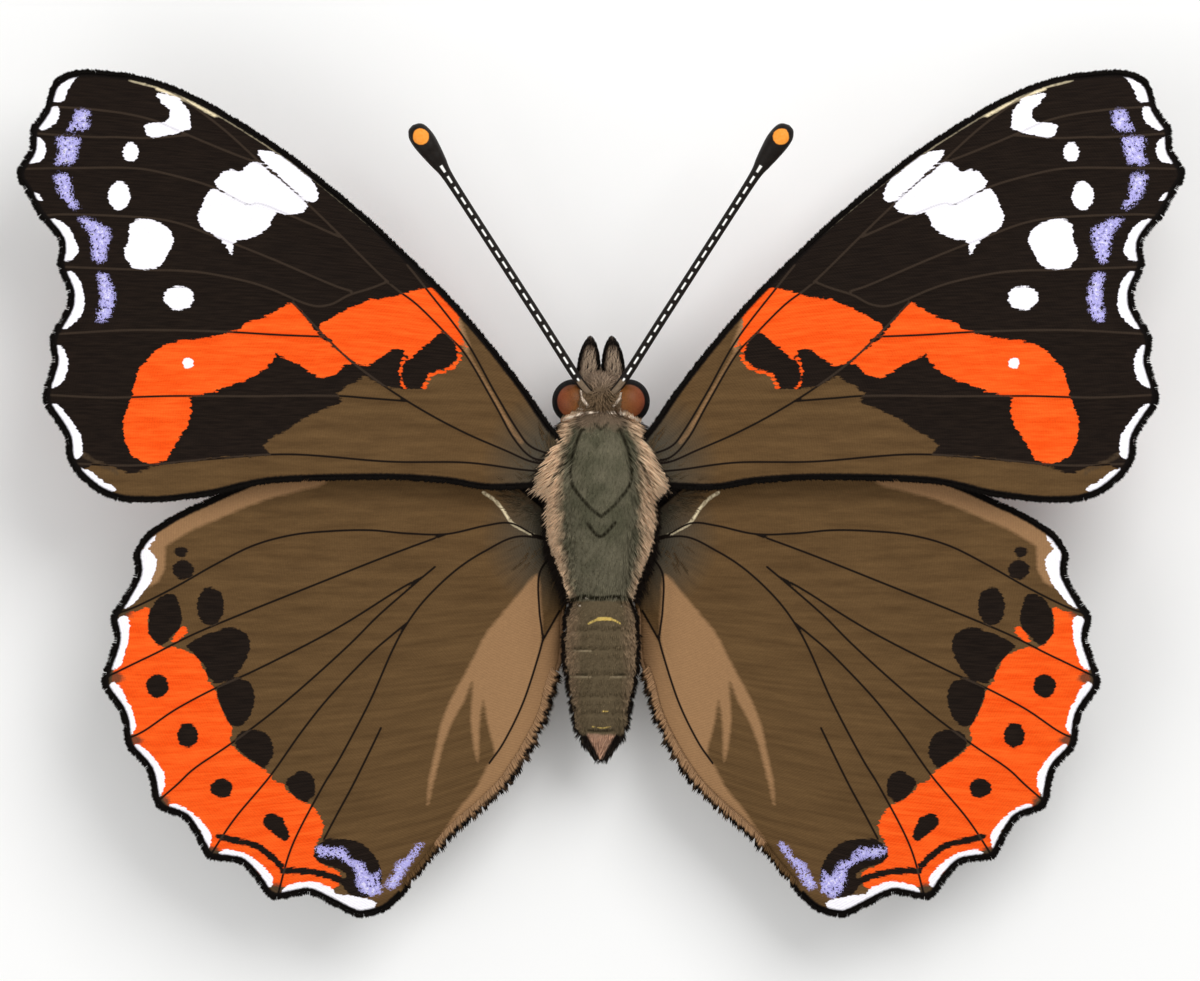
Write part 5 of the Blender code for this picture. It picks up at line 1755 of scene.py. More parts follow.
@dataclass(frozen=True)
class BodyPaint:
    """The body's colours by place, which its skin and its hair share."""

    back: str = "#5f5c48"
    back_pale: str = "#77715c"
    side: str = "#dcbd9c"
    nape: str = "#806d59"
    abdomen: str = "#6e5f47"
    abdomen_side: str = "#a48a6e"
    tail: str = "#bd947a"
    head: str = "#77624a"
    brow: str = "#8d7966"
    belly: str = "#95886f"
    furrow: str = "#242012"
    # The colour of the painted highlights on the abdomen.
    gold: str = "#f0cf73"
    pale: str = "#a39274"
    cream: str = "#fbead6"
    soot: str = "#1a120c"

    def colour(self, g: Graph) -> NodeSocket:
        """Mixes the colour of each place of the body.

        Args:
            g: The material's nodes.

        Returns:
            The colour.
        """
        c = {key: shade(code) for key, code in vars(self).items()}
        here = g.place()
        x, y, z = g.parts(here)
        wide, ahead = x.absolute(), y * -1.0
        fray = g.noise(here, 1.7, 3.0, 0.65) - 0.5
        behind = (y - 1.5).between(0.0, 2.5) * 0.45
        colour = g.mix(g.noise(here, 0.8).between(0.38, 0.62) + behind, c["back"], c["back_pale"])
        colour = g.mix((ahead - 3.15 + fray * 0.8).between(0.0, 0.5), colour, c["nape"])
        closer = (y - 2.5).highest(0.0) * 0.2 + (ahead - 2.0).highest(0.0) * 0.4
        colour = g.mix((wide - 2.05 + closer + fray * 0.9).between(-0.2, 0.3), colour, c["side"])
        abdomen = g.mix((wide - 1.0 + fray * 0.8).between(0.0, 0.9), c["abdomen"], c["abdomen_side"])
        beside = (wide - 0.74 + (y - 12.4).highest(0.0) * 0.55 + fray * 0.2).between(0.0, 0.12)
        tail = g.mix(beside, c["tail"], c["soot"])
        abdomen = g.mix((y - 12.45 + fray * 0.3).between(0.0, 0.15), abdomen, tail)
        colour = g.mix((y - ABDOMEN_START + fray * 0.2).between(0.0, 0.12), colour, abdomen)
        head = g.mix((ahead - 5.1 + fray).between(0.0, 0.8), c["head"], c["brow"])
        colour = g.mix((ahead + HEAD_END).between(0.0, 0.1), colour, head)
        colour = g.mix((4.4 - z + fray).between(0.0, 0.7), colour, c["belly"])
        # The pale yellow crescents on the abdomen are painted highlights.
        for name, soft in (("pale", 0.08), ("furrow", 0.1), ("gold", 0.05), ("cream", 0.06)):
            colour = g.mix((g.attribute(name) + fray * 0.06).inside(soft), colour, c[name])
        return colour

    def skin(self) -> Material:
        """Builds the skin under the hair.

        Returns:
            The material.
        """
        g = Graph("body_skin")
        grain = g.noise(g.place(), 9.0, 3.0)
        colour = g.scaled(self.colour(g), grain * 0.5 + 0.45)
        return g.finish(colour, 0.8, grain, 0.05, Specular_IOR_Level=0.1)

    def hair(self) -> Material:
        """Builds the fine hair, with painted shade at its roots and painted light at its tips.

        Returns:
            The material.
        """
        g = Graph("body_hair")
        tip, tone = g.attribute("tip"), g.attribute("shade")
        # The tip factor paints shade at the roots and light at the tips; the tone factor is each tuft's own
        # random tone.
        colour = g.scaled(self.colour(g), (tip * 0.6 + 0.8) * (tone * 0.4 + 0.82))
        outer = (g.attribute("margin") + (g.noise(g.place(), 4.0) - 0.5) * 0.55).inside(0.05)
        edge = (tip + g.attribute("soot") - 1.0).between(0.45, 0.65).highest(outer)
        return g.finish(g.painted(colour, self.soot, edge), 0.75 - tip * 0.1, Specular_IOR_Level=0.12)


@dataclass(frozen=True)
class HueHair:
    """Hair whose colour each tuft carries as a number, from the first of these colours to the last."""

    name: str
    stops: Sequence[tuple[float, str]]
    soot: str = "#120d0a"

    def material(self) -> Material:
        """Builds the hair's material.

        Returns:
            The material.
        """
        g = Graph(self.name)
        colour = g.ramped(g.attribute("hue"), self.stops)
        tip, tone = g.attribute("tip"), g.attribute("shade")
        edge = (tip - 0.45).between(0.0, 0.2) * g.attribute("soot").clamped()
        # The tip factor paints shade at the roots and light at the tips; the tone factor is each tuft's own
        # random tone.
        colour = g.scaled(g.painted(colour, self.soot, edge), (tip * 0.25 + 0.9) * (tone * 0.3 + 0.85))
        return g.finish(colour, 0.75 - tip * 0.1, Specular_IOR_Level=0.08)


@dataclass(frozen=True)
class BodyForm(Form):
    """The head, thorax and abdomen as one form, from their sections.

    A section is y, half width, and the heights of the top, the widest place and the bottom.
    """

    sections: Sequence[tuple[float, float, float, float, float]] = (
        (-6.25, 0.35, 5.0, 4.7, 4.4), (-6.1, 0.72, 5.5, 4.8, 4.1), (-5.8, 1.0, 5.95, 4.95, 3.85),
        (-5.3, 1.2, 6.25, 5.05, 3.75), (-4.8, 1.28, 6.35, 5.1, 3.8), (-4.35, 1.22, 6.2, 5.1, 3.95),
        (-4.05, 1.35, 6.35, 5.1, 4.0), (-3.6, 1.85, 6.95, 5.2, 3.4), (-2.9, 2.25, 7.55, 5.3, 2.8),
        (-1.9, 2.5, 7.95, 5.3, 2.45), (-0.6, 2.7, 8.2, 5.3, 2.25), (0.8, 2.72, 8.2, 5.3, 2.2),
        (2.2, 2.55, 7.95, 5.2, 2.35), (3.4, 2.3, 7.5, 5.1, 2.65), (4.5, 2.0, 6.95, 5.0, 3.0),
        (5.35, 1.75, 6.45, 4.9, 3.35), (5.65, 1.6, 6.35, 4.85, 3.45), (6.3, 1.86, 6.55, 4.8, 3.15),
        (7.2, 1.95, 6.5, 4.75, 3.0), (8.1, 1.97, 6.4, 4.7, 2.95), (9.0, 1.9, 6.2, 4.6, 2.95),
        (9.9, 1.75, 5.95, 4.5, 3.0), (10.8, 1.58, 5.7, 4.4, 3.1), (11.7, 1.45, 5.5, 4.35, 3.2),
        (12.4, 1.25, 5.25, 4.3, 3.35), (13.0, 0.85, 4.95, 4.25, 3.6), (13.5, 0.5, 4.65, 4.2, 3.85),
    )
    inset: float = 0.12
    rings: Sequence[float] = (7.05, 8.05, 9.38, 10.5, 11.4, 12.3)
    ring_depth: float = 0.09
    ring_width: float = 0.13

    @property
    def extent(self) -> tuple[float, float]:
        """Where the form starts and ends."""
        return (self.sections[0][0], self.sections[-1][0])

    def at(self, along: Array, around: Array) -> Array:
        """Finds places of the surface.

        Args:
            along: Their y.
            around: Their angles round the form.

        Returns:
            The points.
        """
        fine = smooth_line(self.sections, 0.08)
        half, top, wide, bottom = (np.interp(along, fine[:, 0], fine[:, k]) for k in range(1, 5))
        sink = np.full(len(along), self.inset)
        for ring in self.rings:
            sink += self.ring_depth * np.exp(-((along - ring) / self.ring_width) ** 2)
        rise = np.where(np.sin(around) > 0, top - wide, wide - bottom) - sink
        return np.column_stack([(half - sink) * np.cos(around), along, wide + rise * np.sin(around)])


@dataclass
class Body:
    """The skin of the whole body, and its coat in three pieces."""

    form: BodyForm = field(default_factory=BodyForm)
    paint: BodyPaint = field(default_factory=BodyPaint)
    eye_centre: Point = (1.42, -4.78, 5.15)
    eye_radii: Point = (1.12, 1.15, 1.3)
    eye_clear: Point = (1.08, 1.1, 1.25)
    eye_inner_x: float = 1.14
    eye_back: Point = (2.4, -3.76, 0.6)
    crown_height: float = 5.6
    collar_y: float = -3.75
    collar_width: float = 0.45
    thorax_length: float = 0.55
    belly_length: float = 0.8
    tail_y: float = 12.3
    tail_extra: float = 0.6
    side_hair: Line = (
        (-4.1, 0.65), (-3.4, 0.8), (-3.05, 1.0), (-2.7, 1.5), (-2.25, 1.7), (-1.9, 1.95), (-1.2, 2.05),
        (-0.9, 1.75), (-0.65, 1.35), (-0.4, 1.05), (-0.1, 0.85), (0.2, 0.7), (0.7, 0.9), (1.8, 0.95),
        (2.6, 1.1), (3.5, 0.85), (4.6, 0.65), (5.4, 0.55),
    )

    def build(self) -> None:
        """Makes the skin and grows the coat."""
        points, faces, _, _ = self.form.sheet(0.07, 84)
        skin = make_piece("body_skin", points, faces)
        store(skin, **body_marks(points))
        skin.data.materials.append(self.paint.skin())
        hand_in(skin, "body_hair", "head", "thorax", "abdomen")
        hair = self.paint.hair()
        self._dress(self._head(), Tuft(5, 0.13, spread=0.45, droop=0.1), hair, "body_hair", "head")
        self._dress(self._thorax(), Tuft(5, 0.062, spread=0.28, droop=0.16), hair, "body_hair", "thorax")
        self._dress(self._abdomen(), Tuft(5, 0.11, spread=0.4, droop=0.12), hair, "abdomen_hair", "abdomen")

    @staticmethod
    def _dress(tufts: Planting, tuft: Tuft, finish: Material, slot: str, node: str) -> None:
        """Grows one piece of the coat, which carries the body's marks and painted highlights where they lie.

        Args:
            tufts: Where its tufts stand.
            tuft: The tuft that stands there.
            finish: The hair's material.
            slot: The material slot that the piece belongs to.
            node: The node that it helps to stand for.
        """
        tufts.carried = {"soot": tufts.carried.get("soot", np.zeros(len(tufts.root)))}
        coat = tufts.grow(f"{node}_coat", slot, tuft, finish, [node])
        points = np.empty(3 * len(coat.data.vertices))
        coat.data.vertices.foreach_get("co", points)
        points = points.reshape(-1, 3) / MM
        margin = np.full(len(points), FAR) if node == "head" else outline_margin(points)
        store(coat, margin=margin, **body_marks(points))

    @staticmethod
    def _soot(tufts: Planting, start: float, above: float) -> Array:
        """Finds how dark the tufts are, from the tips inwards, where the body is widest and just below.

        Args:
            tufts: The tufts.
            start: Where it starts above the widest place, as a share of the half width.
            above: How dark they are there.

        Returns:
            The darkness, 1 for dark tips and 1.6 for dark tufts.
        """
        around = tufts.carried["around"]
        beside = np.abs(np.cos(around))
        upper = above * ramp(beside, start, 0.03)
        return np.where(np.sin(around) < -0.08, 1.6 * (beside > 0.5), upper) * (tufts.root[:, 2] > 3.4)

    def _eye_rim(self, side: Side) -> Planting:
        """Grows the hair over the inner side and the back of one eye.

        Args:
            side: The side of the butterfly.

        Returns:
            The tufts, mapped where the skin lies under them.
        """
        middle = turned([self.eye_centre], side)[0]
        globe = Globe(middle, self.eye_radii)
        rim = globe.plant((-1.45, 1.45), spacing=0.115, length=0.4, lift=0.3, seed=25)
        x, y, z = rim.root.T
        rim.unwrap = self.form.unwrap(y, np.arctan2(z - middle[2], x) % TURN)
        wide, (back_x, back_y, slope) = np.abs(x), self.eye_back
        behind = y - back_y + (back_x - wide) * slope
        rim.lean(x=0.5 * np.sign(x) * (behind > 0), z=0.1)
        return rim.kept(((wide < self.eye_inner_x - 0.06) | (behind > 0.06)) & (z > 5.0))

    def _head(self) -> Planting:
        """Grows short hair that points forwards on the face and back on the crown, and rings the eyes.

        Returns:
            The tufts.
        """
        face = self.form.plant((-6.2, -5.3), spacing=0.16, length=0.45, lift=0.6, seed=21, forward=True)
        crown = self.form.plant((-5.3, -4.15), spacing=0.15, length=0.5, lift=0.8, seed=22)
        both = face.joined(crown)
        x, _, z = both.root.T
        both.lean(x=np.sign(x) * ramp(np.abs(x), 0.1, 0.3) * (z > self.crown_height) * 1.3)
        both.length = np.where(z > self.crown_height, 0.62, 0.42)
        gap = (np.abs(both.root) * [1, 0, 0] + both.root * [0, 1, 1] - self.eye_centre) / self.eye_clear
        return both.kept(np.linalg.norm(gap, axis=1) > 1).joined(*(self._eye_rim(side) for side in Side))

    def _thorax(self) -> Planting:
        """Grows hair that lies back along the middle, and stands out sideways over the wings' roots.

        Returns:
            The tufts.
        """
        tufts = self.form.plant((-4.15, 5.45), spacing=0.235, length=0.6, lift=0.2, seed=23)
        x, y, z = tufts.root.T
        around = tufts.carried["around"]
        aside = ramp(np.abs(np.cos(around)), 0.5, 0.3) * ramp(z, 4.0, 0.6)
        collar = np.exp(-((y - self.collar_y) / self.collar_width) ** 2)
        out = np.interp(y, (-0.5, 0.5), (1.55, 1.15)) * aside + 1.3 * collar * ramp(np.abs(x), 0.5, 1)
        tufts.lean(x=np.sign(x) * out, z=0.15 * aside)
        reach = np.interp(y, *np.transpose(self.side_hair))
        length = self.thorax_length + aside * (reach - self.thorax_length)
        length += 0.2 * ramp(y, 3, 2) + 0.2 * collar + 0.15 * (aside > 0.9) * (np.sin(around) < -0.08)
        tufts.length = np.where(z < 5, np.maximum(length, self.belly_length), length)
        tufts.carried["soot"] = self._soot(tufts, 0.93, 1.0)
        return tufts

    def _abdomen(self) -> Planting:
        """Grows close short hair in the body's direction, longer at the tip.

        Returns:
            The tufts.
        """
        tufts = self.form.plant((ABDOMEN_START, 13.45), spacing=0.215, length=0.4, lift=0.2, seed=24)
        x, y, z = tufts.root.T
        end = ramp(y, self.tail_y, 1)
        aside = ramp(np.abs(np.cos(tufts.carried["around"])), 0.6, 0.3) * (1 - end)
        tufts.length = tufts.length + self.tail_extra * end + 0.1 * aside
        tufts.lean(-0.9 * x * end, 0.9 * end, -0.7 * (z - 4.2) * end)
        tufts.lean(x=0.85 * np.sign(x) * aside)
        tufts.carried["soot"] = np.maximum(self._soot(tufts, 0.955, 1.6), ramp(y, 13.1, 0.2))
        return tufts


def make_form(
    name: str, forms: Sequence[Form], step: float, sides: int, finish: Material, slot: str, *nodes: str,
    marks: Callable[[Array], dict[str, Array]] | None = None,
) -> Object:
    """Makes one piece from one or more forms.

    Args:
        name: The piece's name.
        forms: Its forms.
        step: The distance between rings.
        sides: The points in a ring.
        finish: Its material.
        slot: The material slot that it belongs to.
        *nodes: The nodes that it stands for.
        marks: A function of the points' angles that gives more numbers to store, by name.

    Returns:
        The finished piece, which carries each point's place along its form.
    """
    sheets = [form.sheet(step, sides) for form in forms]
    firsts = np.cumsum([0, *(len(sheet[0]) for sheet in sheets)]).tolist()
    faces = [[first + corner for corner in face] for first, one in zip(firsts, sheets) for face in one[1]]
    points, along, around = (np.concatenate([sheet[k] for sheet in sheets]) for k in (0, 2, 3))
    item = make_piece(name, points, faces)
    store(item, along=along, **(marks(around) if marks else {}))
    item.data.materials.append(finish)
    return hand_in(item, slot, *nodes)


@dataclass(frozen=True)
class Globe(Form):
    """An egg-shaped form: its middle and its half widths. Along is an angle, from its front to its back."""

    middle: Point
    radii: Point
    extent: tuple[float, float] = (-1.5, 1.5)

    def at(self, along: Array, around: Array) -> Array:
        """The points of the surface there."""
        way = [np.cos(along) * np.cos(around), np.sin(along), np.cos(along) * np.sin(around)]
        return np.array(self.middle) + np.column_stack(way) * np.array(self.radii)


@dataclass(frozen=True)
class EyeFinish:
    """Brown glass made of tiny facets, with a dark ring round the top."""

    inner: str = "#7d4c24"
    outer: str = "#8a4029"
    dark: str = "#1c0f09"
    ring: str = "#080504"
    rim_height: float = 6.05
    rim_foot: float = 4.95
    facet: float = 0.055

    def material(self) -> Material:
        """Builds the eye's material.

        Returns:
            The material.
        """
        g = Graph("compound_eye")
        here = g.place()
        x, _, z = g.parts(here)
        cells = g.cells(here, 1 / self.facet)
        colour = g.mix((x.absolute() - 1.3).between(0.0, 1.2), shade(self.inner), shade(self.outer))
        colour = g.painted(colour, self.dark, g.noise(here, 1.1, 2.0).between(0.45, 0.7) * 0.45)
        ring = (self.rim_height - z).between(0.0, 0.08) * (z - self.rim_foot).between(-0.12, 0.12)
        colour = g.scaled(g.painted(colour, self.ring, ring), 1.15 - cells * 0.5)
        return g.finish(colour, ring * 0.5 + 0.35, 1 - cells, 0.012, Specular_IOR_Level=0.14,
                        Coat_Weight=0.03, Coat_Roughness=0.25)


@dataclass(frozen=True)
class AntennaFinish:
    """A black shaft with a white dash on each joint, and a club with an orange tip."""

    length: float
    joint: float = 0.66
    dash_share: float = 0.2
    dash_start: float = 2.5
    tip_middle: float = 0.68
    tip_half: float = 0.42
    tip_half_wide: float = 0.7
    base: float = 0.95

    def material(self) -> Material:
        """Builds the antenna's material.

        Returns:
            The material.
        """
        g = Graph("antenna")
        along, crest = g.attribute("along"), g.attribute("crest")
        grain = g.noise(g.place(), 8.0, 2.0)
        from_end = self.length - along
        beat = ((from_end - self.dash_start - 0.05) * (TURN / self.joint)).sine()
        dash = beat.between(-0.5, -0.25) * (crest - self.dash_share).inside(0.12)
        dash = dash * (from_end - self.dash_start).between(-0.1, 0.0)
        hidden = (self.base - along).between(0.0, 0.1) * (crest - 0.62).inside(0.2)
        ahead, aside = (from_end - self.tip_middle) / self.tip_half, crest / self.tip_half_wide
        tip = (ahead * ahead + aside * aside + (grain - 0.5) * 0.3 - 1.0).inside(0.25)
        colour = g.painted(g.mix(grain, shade("#0d0a08"), shade("#221b16")), "#fbf9f4", dash)
        colour = g.mix(hidden, colour, g.mix(grain, shade("#5d4c3b"), shade("#8b7862")))
        colour = g.mix(tip, colour, g.mix(grain, shade("#ff8d1e"), shade("#ffb04e")))
        return g.finish(colour, 0.5, beat * 0.4 + grain * 0.3, 0.03, Specular_IOR_Level=0.15)


@dataclass(frozen=True)
class ShellFinish:
    """Plain horny skin with a colour that changes along the part."""

    name: str
    near: str
    far: str
    turn: float
    roughness: float = 0.5

    def material(self) -> Material:
        """Builds the skin's material.

        Returns:
            The material.
        """
        g = Graph(self.name)
        grain = g.noise(g.place(), 6.0, 3.0)
        share = (g.attribute("along") - self.turn + grain - 0.5).between(-0.4, 0.4)
        colour = g.scaled(g.mix(share, shade(self.near), shade(self.far)), grain * 0.6 + 0.7)
        return g.finish(colour, self.roughness, grain, 0.02, Specular_IOR_Level=0.3)


@dataclass
class HeadParts:
    """The eyes, palps, antennae and coiled tongue."""

    body: Body
    palp_line: Sequence[Point] = (
        (0.72, -5.2, 4.15), (0.7, -5.85, 4.2), (0.64, -6.5, 4.4), (0.6, -7.2, 4.75), (0.57, -7.75, 5.15),
        (0.55, -8.1, 5.45),
    )
    palp_half_widths: Sequence[float] = (0.34, 0.48, 0.54, 0.46, 0.28, 0.07)
    palp_hair: float = 0.47
    palp_dark_end: float = 0.8
    antenna_line: Sequence[Point] = (
        (0.62, -5.2, 6.0), (1.25, -6.0, 6.25), (3.0, -8.75, 6.85), (5.0, -11.85, 7.5), (7.0, -14.95, 8.1),
        (7.95, -16.43, 8.39), (8.35, -17.05, 8.5), (8.72, -17.6, 8.58), (9.05, -18.08, 8.65),
        (9.33, -18.46, 8.7), (9.5, -18.7, 8.73), (9.63, -18.87, 8.75), (9.68, -18.945, 8.76),
        (9.71, -18.99, 8.76),
    )
    antenna_half_widths: Sequence[float] = (
        0.22, 0.24, 0.24, 0.24, 0.25, 0.29, 0.42, 0.53, 0.6, 0.59, 0.52, 0.38, 0.25, 0.04,
    )
    coil_start: Point = (0.0, -5.15, 3.6)
    coil_middle: tuple[float, float] = (-5.85, 2.42)
    coil_radii: tuple[float, float] = (0.85, 0.4)
    coil_widths: tuple[float, float] = (0.125, 0.08)
    coil_turns: float = 1.5
    coil_angle: float = 80.0

    def build(self) -> None:
        """Makes every part of the head that isn't skin."""
        eye = EyeFinish().material()
        palp_hair = HueHair("palp_hair", ((0.0, "#17100c"), (0.4, "#7f6a59"), (1.0, "#b8a28b"))).material()
        for side in Side:
            globe = Globe(turned([self.body.eye_centre], side)[0], self.body.eye_radii)
            node = f"eye_{side.word}"
            make_form(f"{node}_faceted", [globe], 0.06, 64, eye, "eye_brown", node)
            self._palp(side, palp_hair)
            self._antenna(side)
        self._tongue()

    def _palp(self, side: Side, hair: Material) -> None:
        """Makes one hairy palp, pointing forwards.

        Args:
            side: The side of the butterfly.
            hair: The hair's material.
        """
        node = f"palp_{side.word}"
        tube = Tube(turned(self.palp_line, side), self.palp_half_widths, tall=1.2)
        skin = ShellFinish("palp_skin", "#241b15", "#33281f", 2.0, 0.8).material()
        make_form(f"{node}_skin", [tube], 0.06, 32, skin, "body_hair", node)
        stretch = (0.05, tube.extent[1] - 0.1)
        tufts = tube.plant(stretch, spacing=0.13, length=self.palp_hair, lift=0.36, seed=31)
        share = tufts.carried["along"] / tube.extent[1]
        edge = np.abs(np.cos(tufts.carried["around"]))
        dark = 3.6 * edge ** 3 + 3 * ramp(share, self.palp_dark_end, 0.06)
        tufts.length = tufts.length * (1 - 0.35 * share)
        tufts.carried = {"hue": np.clip(1.7 - dark, 0, 1), "soot": 1.6 * edge ** 4 + share ** 5}
        tuft = Tuft(4, 0.11, spread=0.3, droop=0.12)
        tufts.grow(f"{node}_coat", "body_hair", tuft, hair, [node], seed=8)

    def _antenna(self, side: Side) -> None:
        """Makes one antenna, a thin jointed shaft that ends in a club.

        Args:
            side: The side of the butterfly.
        """
        node = f"antenna_{side.word}"
        tube = Tube(turned(self.antenna_line, side), self.antenna_half_widths)

        def crest(around: Array) -> dict[str, Array]:
            """How far each point is from the shaft's top line, or from its pale lower side."""
            below = np.where(np.sin(around) < -0.6, 0.0, 2.0)
            return {"crest": np.where(np.sin(around) > 0, np.abs(np.cos(around)), below)}

        finish = AntennaFinish(tube.extent[1]).material()
        make_form(f"{node}_jointed", [tube], 0.07, 28, finish, "antenna_dark", node, marks=crest)

    def _tongue(self) -> None:
        """Makes the tongue, coiled under the head."""
        share = np.linspace(0, 1, 40)
        angle = math.radians(self.coil_angle) + share * self.coil_turns * TURN
        radius, width = (a + share * (b - a) for a, b in (self.coil_radii, self.coil_widths))
        coil = [0 * share, self.coil_middle[0] + radius * np.cos(angle),
                self.coil_middle[1] + radius * np.sin(angle)]
        tube = Tube([self.coil_start, *zip(*coil)], [0.15, *width], up=(1.0, 0.0, 0.0))
        skin = ShellFinish("tongue", "#241812", "#3d2c1f", 2.0, 0.4).material()
        make_form("proboscis_coiled", [tube], 0.06, 20, skin, "antenna_dark", "proboscis")


@dataclass(frozen=True)
class Leg:
    """A walking leg: its joints from hip to toe, and its half widths at the hip, thigh, bends and foot."""

    name: str
    joints: Sequence[Point]
    hip_width: float = 0.4
    thigh_width: float = 0.36
    bend_width: float = 0.27
    toe_widths: tuple[float, float, float] = (0.26, 0.2, 0.13)
    bend: float = 0.3
    toes: int = 5
    claw: Sequence[Point] = ((-0.08, 0.05, 0.0), (0.1, 0.12, 0.0), (0.16, 0.2, -0.1))

    def tube(self, side: Side) -> Tube:
        """Shapes the leg, with rounded bends and a foot of short joints.

        Args:
            side: The side of the butterfly.

        Returns:
            The leg's form.
        """
        hip, knee, ankle, heel, toe = (np.array(p) for p in turned(self.joints, side))
        line, widths = [hip, hip + (knee - hip) * 0.5], [self.hip_width, self.thigh_width]
        for before, joint, after in ((hip, knee, ankle), (knee, ankle, heel)):
            line += [joint + unit(before - joint) * self.bend, joint + unit(after - joint) * self.bend]
            widths += [self.bend_width] * 2
        line += [heel + (toe - heel) * k / (2 * self.toes) for k in range(2 * self.toes + 1)]
        thick, thin, end = self.toe_widths
        widths += [thick, thin] * self.toes + [end]
        return Tube(line, widths, floor=0.0)

    def claws(self, side: Side) -> list[Tube]:
        """Shapes the two small claws at the toe.

        Args:
            side: The side of the butterfly.

        Returns:
            The claws' forms.
        """
        heel, toe = (np.array(p) for p in turned(self.joints, side)[-2:])
        ahead = unit(toe - heel)
        across, up = np.array([-ahead[1], ahead[0], 0]), np.array([0, 0, 1])
        lines = [[toe + ahead * a + across * b * sign + up * c for a, b, c in self.claw] for sign in (-1, 1)]
        return [Tube(line, (0.06, 0.05, 0.015), floor=0.0) for line in lines]


@dataclass
class Limbs:
    """Four walking legs, and the two small brush-like forelegs folded under the thorax."""

    legs: Sequence[Leg] = (
        Leg("leg_middle", ((1.2, -0.7, 2.9), (4.9, -2.5, 3.9), (7.4, -4.4, 0.75), (8.1, -5.1, 0.21),
                           (10.0, -7.4, 0.21))),
        Leg("leg_hind", ((1.1, 2.3, 2.9), (4.4, 4.6, 3.6), (6.3, 8.0, 0.75), (6.7, 8.9, 0.21),
                         (7.9, 11.8, 0.21))),
    )
    thigh: tuple[float, float] = (0.6, 4.4)
    shin_start: float = 4.3
    foreleg_line: Sequence[Point] = (
        (0.75, -2.7, 3.1), (0.98, -3.5, 2.62), (1.15, -4.3, 2.35), (1.08, -4.95, 2.5), (0.95, -5.6, 2.75),
    )
    foreleg_half_widths: Sequence[float] = (0.22, 0.25, 0.28, 0.24, 0.08)

    def build(self) -> None:
        """Makes the legs, their claws, their spines and their hair."""
        shell = ShellFinish("leg_shell", "#4c4135", "#a58259", 3.6).material()
        horn = ShellFinish("claw_horn", "#33261a", "#33261a", 0.0, 0.35).material()
        hair = HueHair("leg_hair", ((0.0, "#2e241b"), (0.5, "#8b7c68"), (1.0, "#b39a76"))).material()
        for side in Side:
            for leg in self.legs:
                self._walking(leg, side, shell, horn, hair)
            self._brush(side, shell, hair)

    def _walking(self, leg: Leg, side: Side, shell: Material, horn: Material, hair: Material) -> None:
        """Makes one walking leg with its claws, spines and hair.

        Args:
            leg: The leg.
            side: The side of the butterfly.
            shell: The material of its skin.
            horn: The material of its claws.
            hair: The material of its hair.
        """
        name = f"{leg.name}_{side.word}"
        nodes = [f"{name}_{part}" for part in ("femur", "tibia", "tarsus")]
        tube = leg.tube(side)
        make_form(f"{name}_skin", [tube], 0.07, 24, shell, "leg_brown", *nodes)
        make_form(f"{name}_claws", leg.claws(side), 0.04, 10, horn, "leg_brown", nodes[-1])
        end = tube.extent[1]
        shin, foot = (self.thigh[1], end - 0.3), (self.shin_start, end - 0.1)
        hairs = tube.plant(self.thigh, spacing=0.24, length=0.5, lift=0.3, seed=51).hued(0.5)
        spines = tube.plant(shin, spacing=0.34, length=0.34, lift=0.9, seed=52).hued(0.0)
        scales = tube.plant(foot, spacing=0.2, length=0.24, lift=0.15, seed=53).hued(0.9)
        all_of = hairs.joined(spines, scales)
        height, rise = all_of.root[:, 2], all_of.lie[:, 2]
        all_of = all_of.kept((height > 0.1) & (height + 0.35 * rise > 0.05))
        tuft = Tuft(3, 0.13, spread=0.3, droop=0.05)
        all_of.grow(f"{name}_coat", "leg_brown", tuft, hair, nodes, seed=9)

    def _brush(self, side: Side, shell: Material, hair: Material) -> None:
        """Makes one short foreleg, thick with hair.

        Args:
            side: The side of the butterfly.
            shell: The material of its skin.
            hair: The material of its hair.
        """
        node = f"foreleg_{side.word}"
        tube = Tube(turned(self.foreleg_line, side), self.foreleg_half_widths)
        make_form(f"{node}_skin", [tube], 0.07, 20, shell, "leg_brown", node)
        stretch = (0.2, tube.extent[1] - 0.05)
        tufts = tube.plant(stretch, spacing=0.16, length=0.42, lift=0.4, seed=54).hued(0.6)
        tuft = Tuft(4, 0.1, spread=0.35, droop=0.1)
        tufts.grow(f"{node}_coat", "leg_brown", tuft, hair, [node], seed=10)


@dataclass(frozen=True)
class Lamp:
    """A square soft light that faces the butterfly: its place and size in millimetres, and its power."""

    name: str
    place: Point
    size: float
    power: float

    def build(self) -> None:
        """Hangs the lamp."""
        data = bpy.data.lights.new(self.name, "AREA")
        data.size, data.energy = self.size * MM, self.power
        item = show(self.name, data)
        item.location = Vector(self.place) * MM
        item.rotation_euler = (-Vector(self.place)).to_track_quat("-Z", "Y").to_euler()


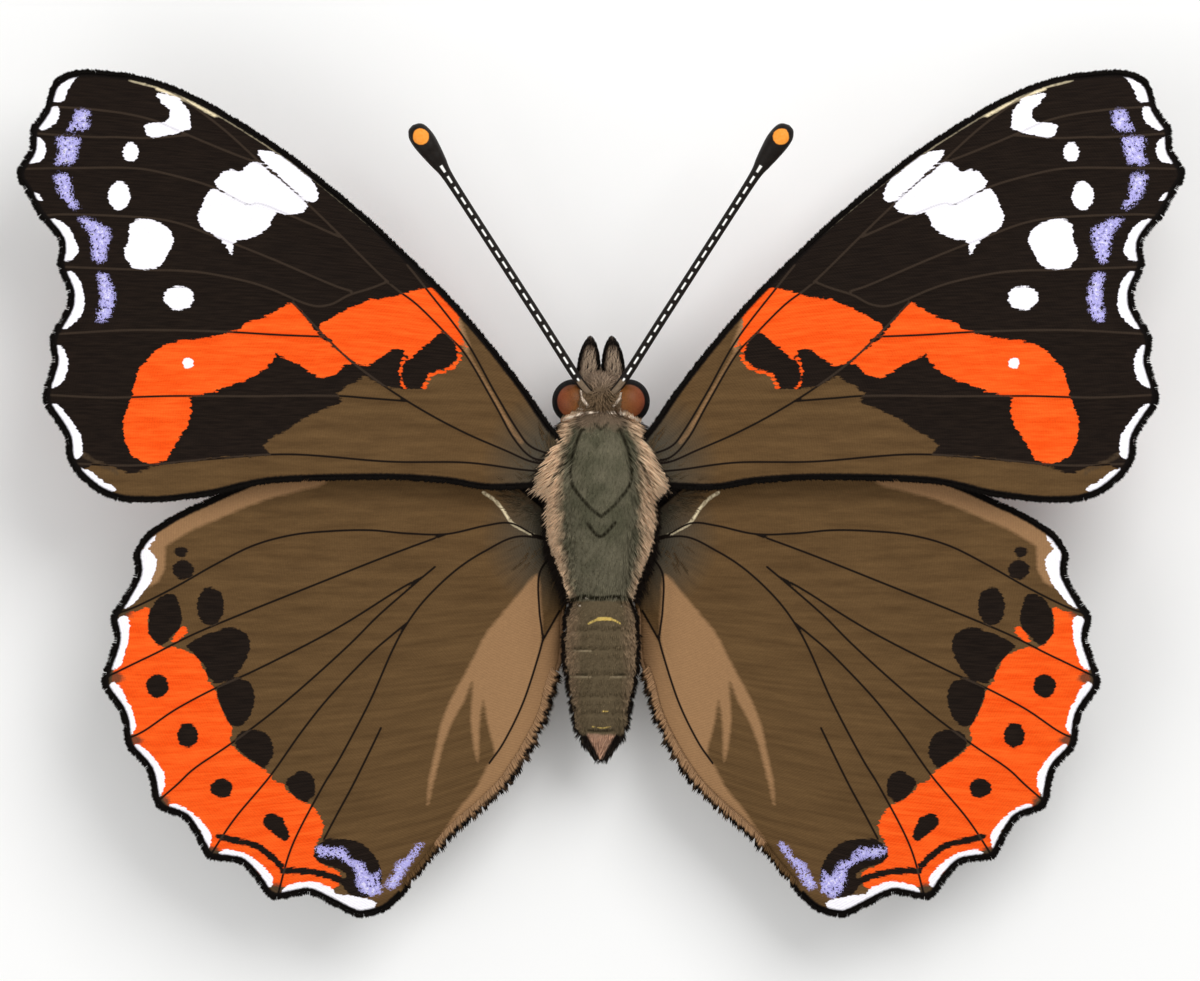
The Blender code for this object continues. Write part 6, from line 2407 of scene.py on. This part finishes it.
@dataclass(frozen=True)
class Studio:
    """A pale floor, soft light and a camera that looks straight down, turned so that the head is up."""

    middle: tuple[float, float] = (0.05, -0.155)
    plane: float = 8.0
    frame_width: float = 61.95
    distance: float = 600.0
    sensor: float = 36.0
    floor_half: float = 1500.0
    sky: float = 0.55
    lamps: Sequence[Lamp] = (
        Lamp("key", (-90.0, -120.0, 190.0), 150.0, 0.3), Lamp("fill", (140.0, 60.0, 160.0), 180.0, 0.12),
    )

    def build(self) -> None:
        """Builds the floor, the lights and the camera."""
        self._floor()
        for lamp in self.lamps:
            lamp.build()
        self._camera()
        world = bpy.data.worlds.new("studio")
        world.use_nodes = True
        background = world.node_tree.nodes["Background"].inputs
        background["Color"].default_value, background["Strength"].default_value = (1.0,) * 4, self.sky
        bpy.context.scene.world = world
        bpy.context.scene.view_settings.view_transform = "Standard"

    def _floor(self) -> None:
        """A wide level floor."""
        corners = np.array([(-1, -1, 0), (1, -1, 0), (1, 1, 0), (-1, 1, 0)]) * self.floor_half
        floor = make_piece("floor", corners, [[0, 1, 2, 3]], smooth=False)
        finish = Graph("pale_floor").finish(shade("#fdfdfc"), 0.9, Specular_IOR_Level=0.1)
        floor.data.materials.append(finish)

    def _camera(self) -> None:
        """The camera, far off so that the wings' small rise doesn't change their shape."""
        lens = bpy.data.cameras.new("camera")
        lens.sensor_width, lens.lens = self.sensor, self.sensor * self.distance / self.frame_width
        lens.clip_start, lens.clip_end = 0.01, 10.0
        item = show("camera", lens)
        item.location = Vector((*self.middle, self.plane + self.distance)) * MM
        item.rotation_euler = (0.0, 0.0, math.pi)
        bpy.context.scene.camera = item


def main() -> None:
    """Builds the butterfly part by part, then the studio round it."""
    logging.basicConfig(level=logging.INFO, format="%(name)s: %(message)s")
    body = Body()
    body.build()
    HeadParts(body).build()
    Limbs().build()
    wings = (
        Wing("forewing", FOREWING, LIFT.forewing, WingFinish("forewing_upper"),
             UnderFinish("forewing_under", marbled=False)),
        Wing("hindwing", HINDWING, LIFT.hindwing, WingFinish("hindwing_upper"),
             UnderFinish("hindwing_under", marbled=True), hairy_length=0.8, down_reach=4.8),
    )
    wing_hair = HueHair("wing_hair", (
        (0.0, "#100c09"), (0.35, "#654b2e"), (0.65, "#4d4a3d"), (0.9, "#a07c5a"), (1.0, "#a9855f"),
    )).material()
    for wing in wings:
        wing.lay_out()
        for side in Side:
            wing.make(side)
            wing.fringe(side, wing_hair)
            wing.down(side, wing_hair)
    Studio().build()


if __name__ == "__main__":
    main()
